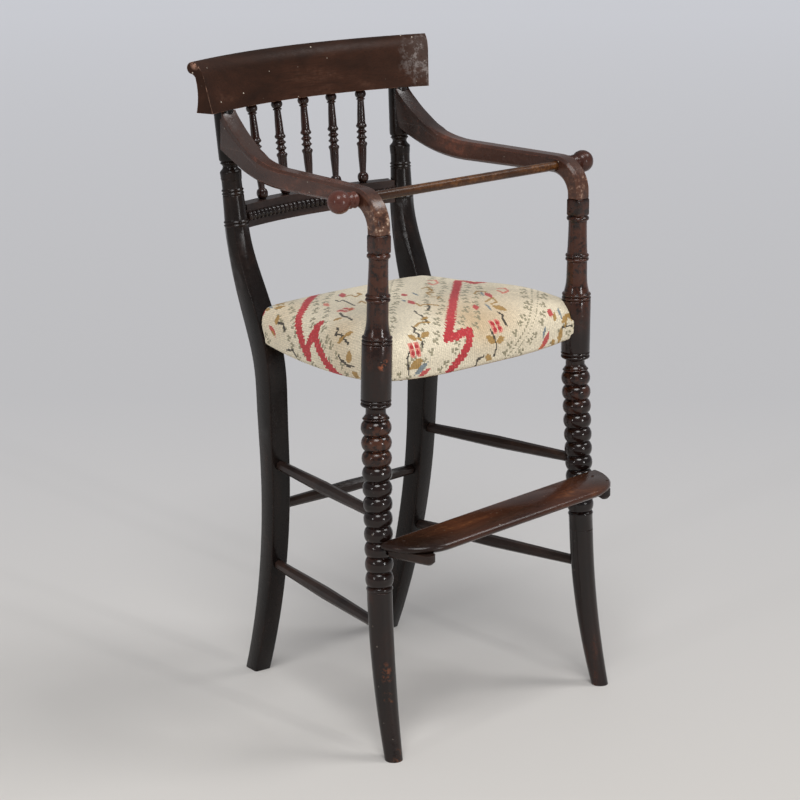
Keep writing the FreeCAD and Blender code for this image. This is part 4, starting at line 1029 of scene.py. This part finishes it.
leaves = [((-66, 281), (-75, 263), 4, blue), ((-56, 284), (-78, 257), 9, red),
          ((-44, 268), (-51, 249), 6, tan), ((-156, 190), (-147, 178), 7, tan),
          ((-108, 203), (-126, 190), 6, rust), ((-110, 258), (-119, 239), 8, pink),
          ((-170, 134), (-178, 148), 8, tan), ((-188, 156), (-179, 145), 7, tan),
          ((-194, 128), (-212, 128), 13, tan), ((-222, 122), (-230, 106), 9, tan),
          ((-173, 315), (-188, 295), 8, red), ((-177, 309), (-191, 297), 4, rust),
          ((-146, 325), (-136, 308), 9, tan), ((-155, 304), (-172, 298), 9, tan),
          ((-180, 307), (-190, 299), 5, tan), ((-9, 214), (-19, 198), 9, red), ((4, 211), (-5, 186), 4, blue),
          ((-34, 189), (-41, 173), 4, blue), ((-32, 178), (-43, 154), 10, red),
          ((-121, 80), (-111, 68), 9, tan), ((-84, 78), (-103, 72), 9, tan), ((-112, 74), (-102, 66), 5, tan),
          ((-133, 31), (-109, 43), 14, tan), ((-124, 21), (-100, 38), 9, blue),
          ((-117, 18), (-95, 28), 7, red), ((73, 149), (63, 132), 4, blue), ((77, 145), (68, 122), 10, red),
          ((27, 113), (19, 99), 9, red), ((44, 112), (39, 92), 4, blue), ((48, 101), (63, 86), 13, tan),
          ((4, 54), (19, 43), 10, tan), ((37, 48), (20, 43), 9, tan), ((1, 29), (14, 21), 9, tan),
          ((130, 72), (126, 59), 10, red), ((135, 65), (132, 51), 7, tan), ((144, 71), (146, 52), 4, blue),
          ((159, 59), (144, 46), 9, tan), ((144, 41), (140, 15), 9, tan), ((114, 50), (107, 31), 5, blue),
          ((121, 42), (107, 15), 9, red), ((128, 27), (130, 15), 8, tan), ((110, 25), (103, 15), 7, rust),
          ((16, 196), (26, 186), 6, tan), ((-60, 108), (-76, 104), 6, tan), ((38, 206), (26, 204), 6, tan)]
for tip, root, width, code in leaves:
    for low, high in repeats([root, tip]):
        work(leaf(high, low, width), code, 0.92)
wool *= 1 + 0.07 * chance.standard_normal((len(a), 1))
paint = cover.data.color_attributes.new("wool", "FLOAT_COLOR", "CORNER")
shades = np.concatenate([np.clip(wool, 0, 1), np.ones((len(a), 1))], 1)
paint.data.foreach_set("color", np.repeat(shades, 4, 0).ravel())

# Wool tent stitch: matt and slightly fuzzy, each stitch a small pillow about 2 mm wide.
needlework, tree, shader = started("wool_needlework")
worked = add(tree, "VertexColor", {}, layer_name="wool")
counted = add(tree, "UVMap", {}, uv_map=cover.data.uv_layers.active.name)
rows = add(tree, "Mapping", {"Vector": counted, "Scale": (0.6, 1, 1)})
pillow = add(tree, "TexVoronoi", {"Vector": rows, "Scale": 1.0, "Randomness": 0.2}, voronoi_dimensions="2D")
hollow = add(tree, "MapRange", {"Value": pillow, "From Min": 0.3, "From Max": 0.72, "To Max": 0.42})
shaded = add(tree, "Mix", {0: hollow, 6: worked.outputs["Color"], 7: colour("#6b5a40")}, data_type="RGBA")
raised = add(tree, "Bump", {"Height": pillow, "Strength": 0.7, "Distance": 0.9 * MM}, invert=True)
wire(shader, {"Base Color": shaded, "Normal": raised, "Roughness": 0.92, "Sheen Weight": 0.15})
smooth(cover, 60)
settle(cover, needlework, "chair_frame", "needlework", "seat_cover", "seat_stuffing")


# Cover tacks: iron tacks about 25 mm apart, which hold the turned-under border of the cover to the undersides
# of the rails.

tack_inset, tack_gap, tack_drop = 9, 25, 1.7
tack_row = [(x, rail_front + tack_inset) for x in range(-137, 138, tack_gap)]
tack_row += [(x, rail_rear - tack_inset) for x in range(-100, 101, tack_gap)]
tack_row += [(side * (half_seat(y) - tack_inset), y) for side in (-1, 1) for y in range(-108, 93, tack_gap)]
iron_heads("cover_tacks", 3.0, 1.2, [(x, y, rail_under - tack_drop + corner_rise(x, y, 0))
                                     for x, y in tack_row])


# Floor and light of the studio: a wide pale grey sweep, a large soft light from the front left, a weaker
# one from the right, two soft boxes near the chair, and a little light from all round.

bpy.ops.object.select_all(action="DESELECT")
bpy.ops.mesh.primitive_plane_add(size=60)
floor = bpy.context.object
floor.name = "studio_floor"
paper, tree, shader = started("grey_floor_paint")
# The paint is warmer near the chair's front and cooler and paler behind it, over some metres.
backwards = (0.674, 0.739, 0)
spot = add(tree, "TexCoord", {}).outputs["Object"]
away = add(tree, "VectorMath", {0: spot, 1: backwards}, operation="DOT_PRODUCT")
near = add(tree, "MapRange", {"Value": away, "From Min": -0.4, "From Max": 1.5})
far = add(tree, "MapRange", {"Value": away, "From Min": 1.5, "From Max": 8.0})
warm = add(tree, "Mix", {0: near, 6: colour("#cfcbc6"), 7: colour("#c0bfc0")}, data_type="RGBA")
tint = add(tree, "Mix", {0: far, 6: warm, 7: colour("#cfd0d5")}, data_type="RGBA")
wire(shader, {"Base Color": tint, "Roughness": 0.7})
coat(floor, paper)


def aimed(name, data, place, aim):
    """Stands a lamp or camera at a place and turns it to its aim."""
    thing = bpy.data.objects.new(name, data)
    bpy.context.scene.collection.objects.link(thing)
    thing.location = place
    thing.rotation_euler = (Vector(aim) - thing.location).to_track_quat("-Z", "Y").to_euler()
    return thing


# Two lights far off fall evenly on the whole floor.
for name, place, spread, strength in (("key_light", (-1.3, -1.3, 3.0), 28, 1.6),
                                      ("fill_light", (2.2, -1.6, 3.2), 20, 0.9)):
    lamp = bpy.data.lights.new(name, "SUN")
    lamp.angle, lamp.energy = math.radians(spread), strength
    aimed(name, lamp, place, (0, 0, 0))
# Two soft boxes near the chair draw the highlights on the turned and polished wood.
for name, place, width, height, power in (("left_box", (-3.3, -0.3, 1.3), 0.1, 0.6, 9),
                                          ("front_box", (0.1, -3.4, 1.1), 0.12, 0.7, 19)):
    lamp = bpy.data.lights.new(name, "AREA")
    lamp.shape = "RECTANGLE"
    lamp.size, lamp.size_y, lamp.energy = width, height, power
    aimed(name, lamp, place, (0, 0, 0.5))
world = bpy.data.worlds.new("studio_air")
bpy.context.scene.world = world
world.use_nodes = True
wire(world.node_tree.nodes["Background"], {"Color": colour("#e4e6ea"), "Strength": 0.4})

lens = bpy.data.cameras.new("camera")
lens.sensor_width, lens.lens = 36, 110.46
camera = aimed("camera", lens, (-2.1654, -2.3765, 1.3037), (0, 0.0103, 0.406))
bpy.context.scene.camera = camera
bpy.context.scene.view_settings.view_transform = "Standard"
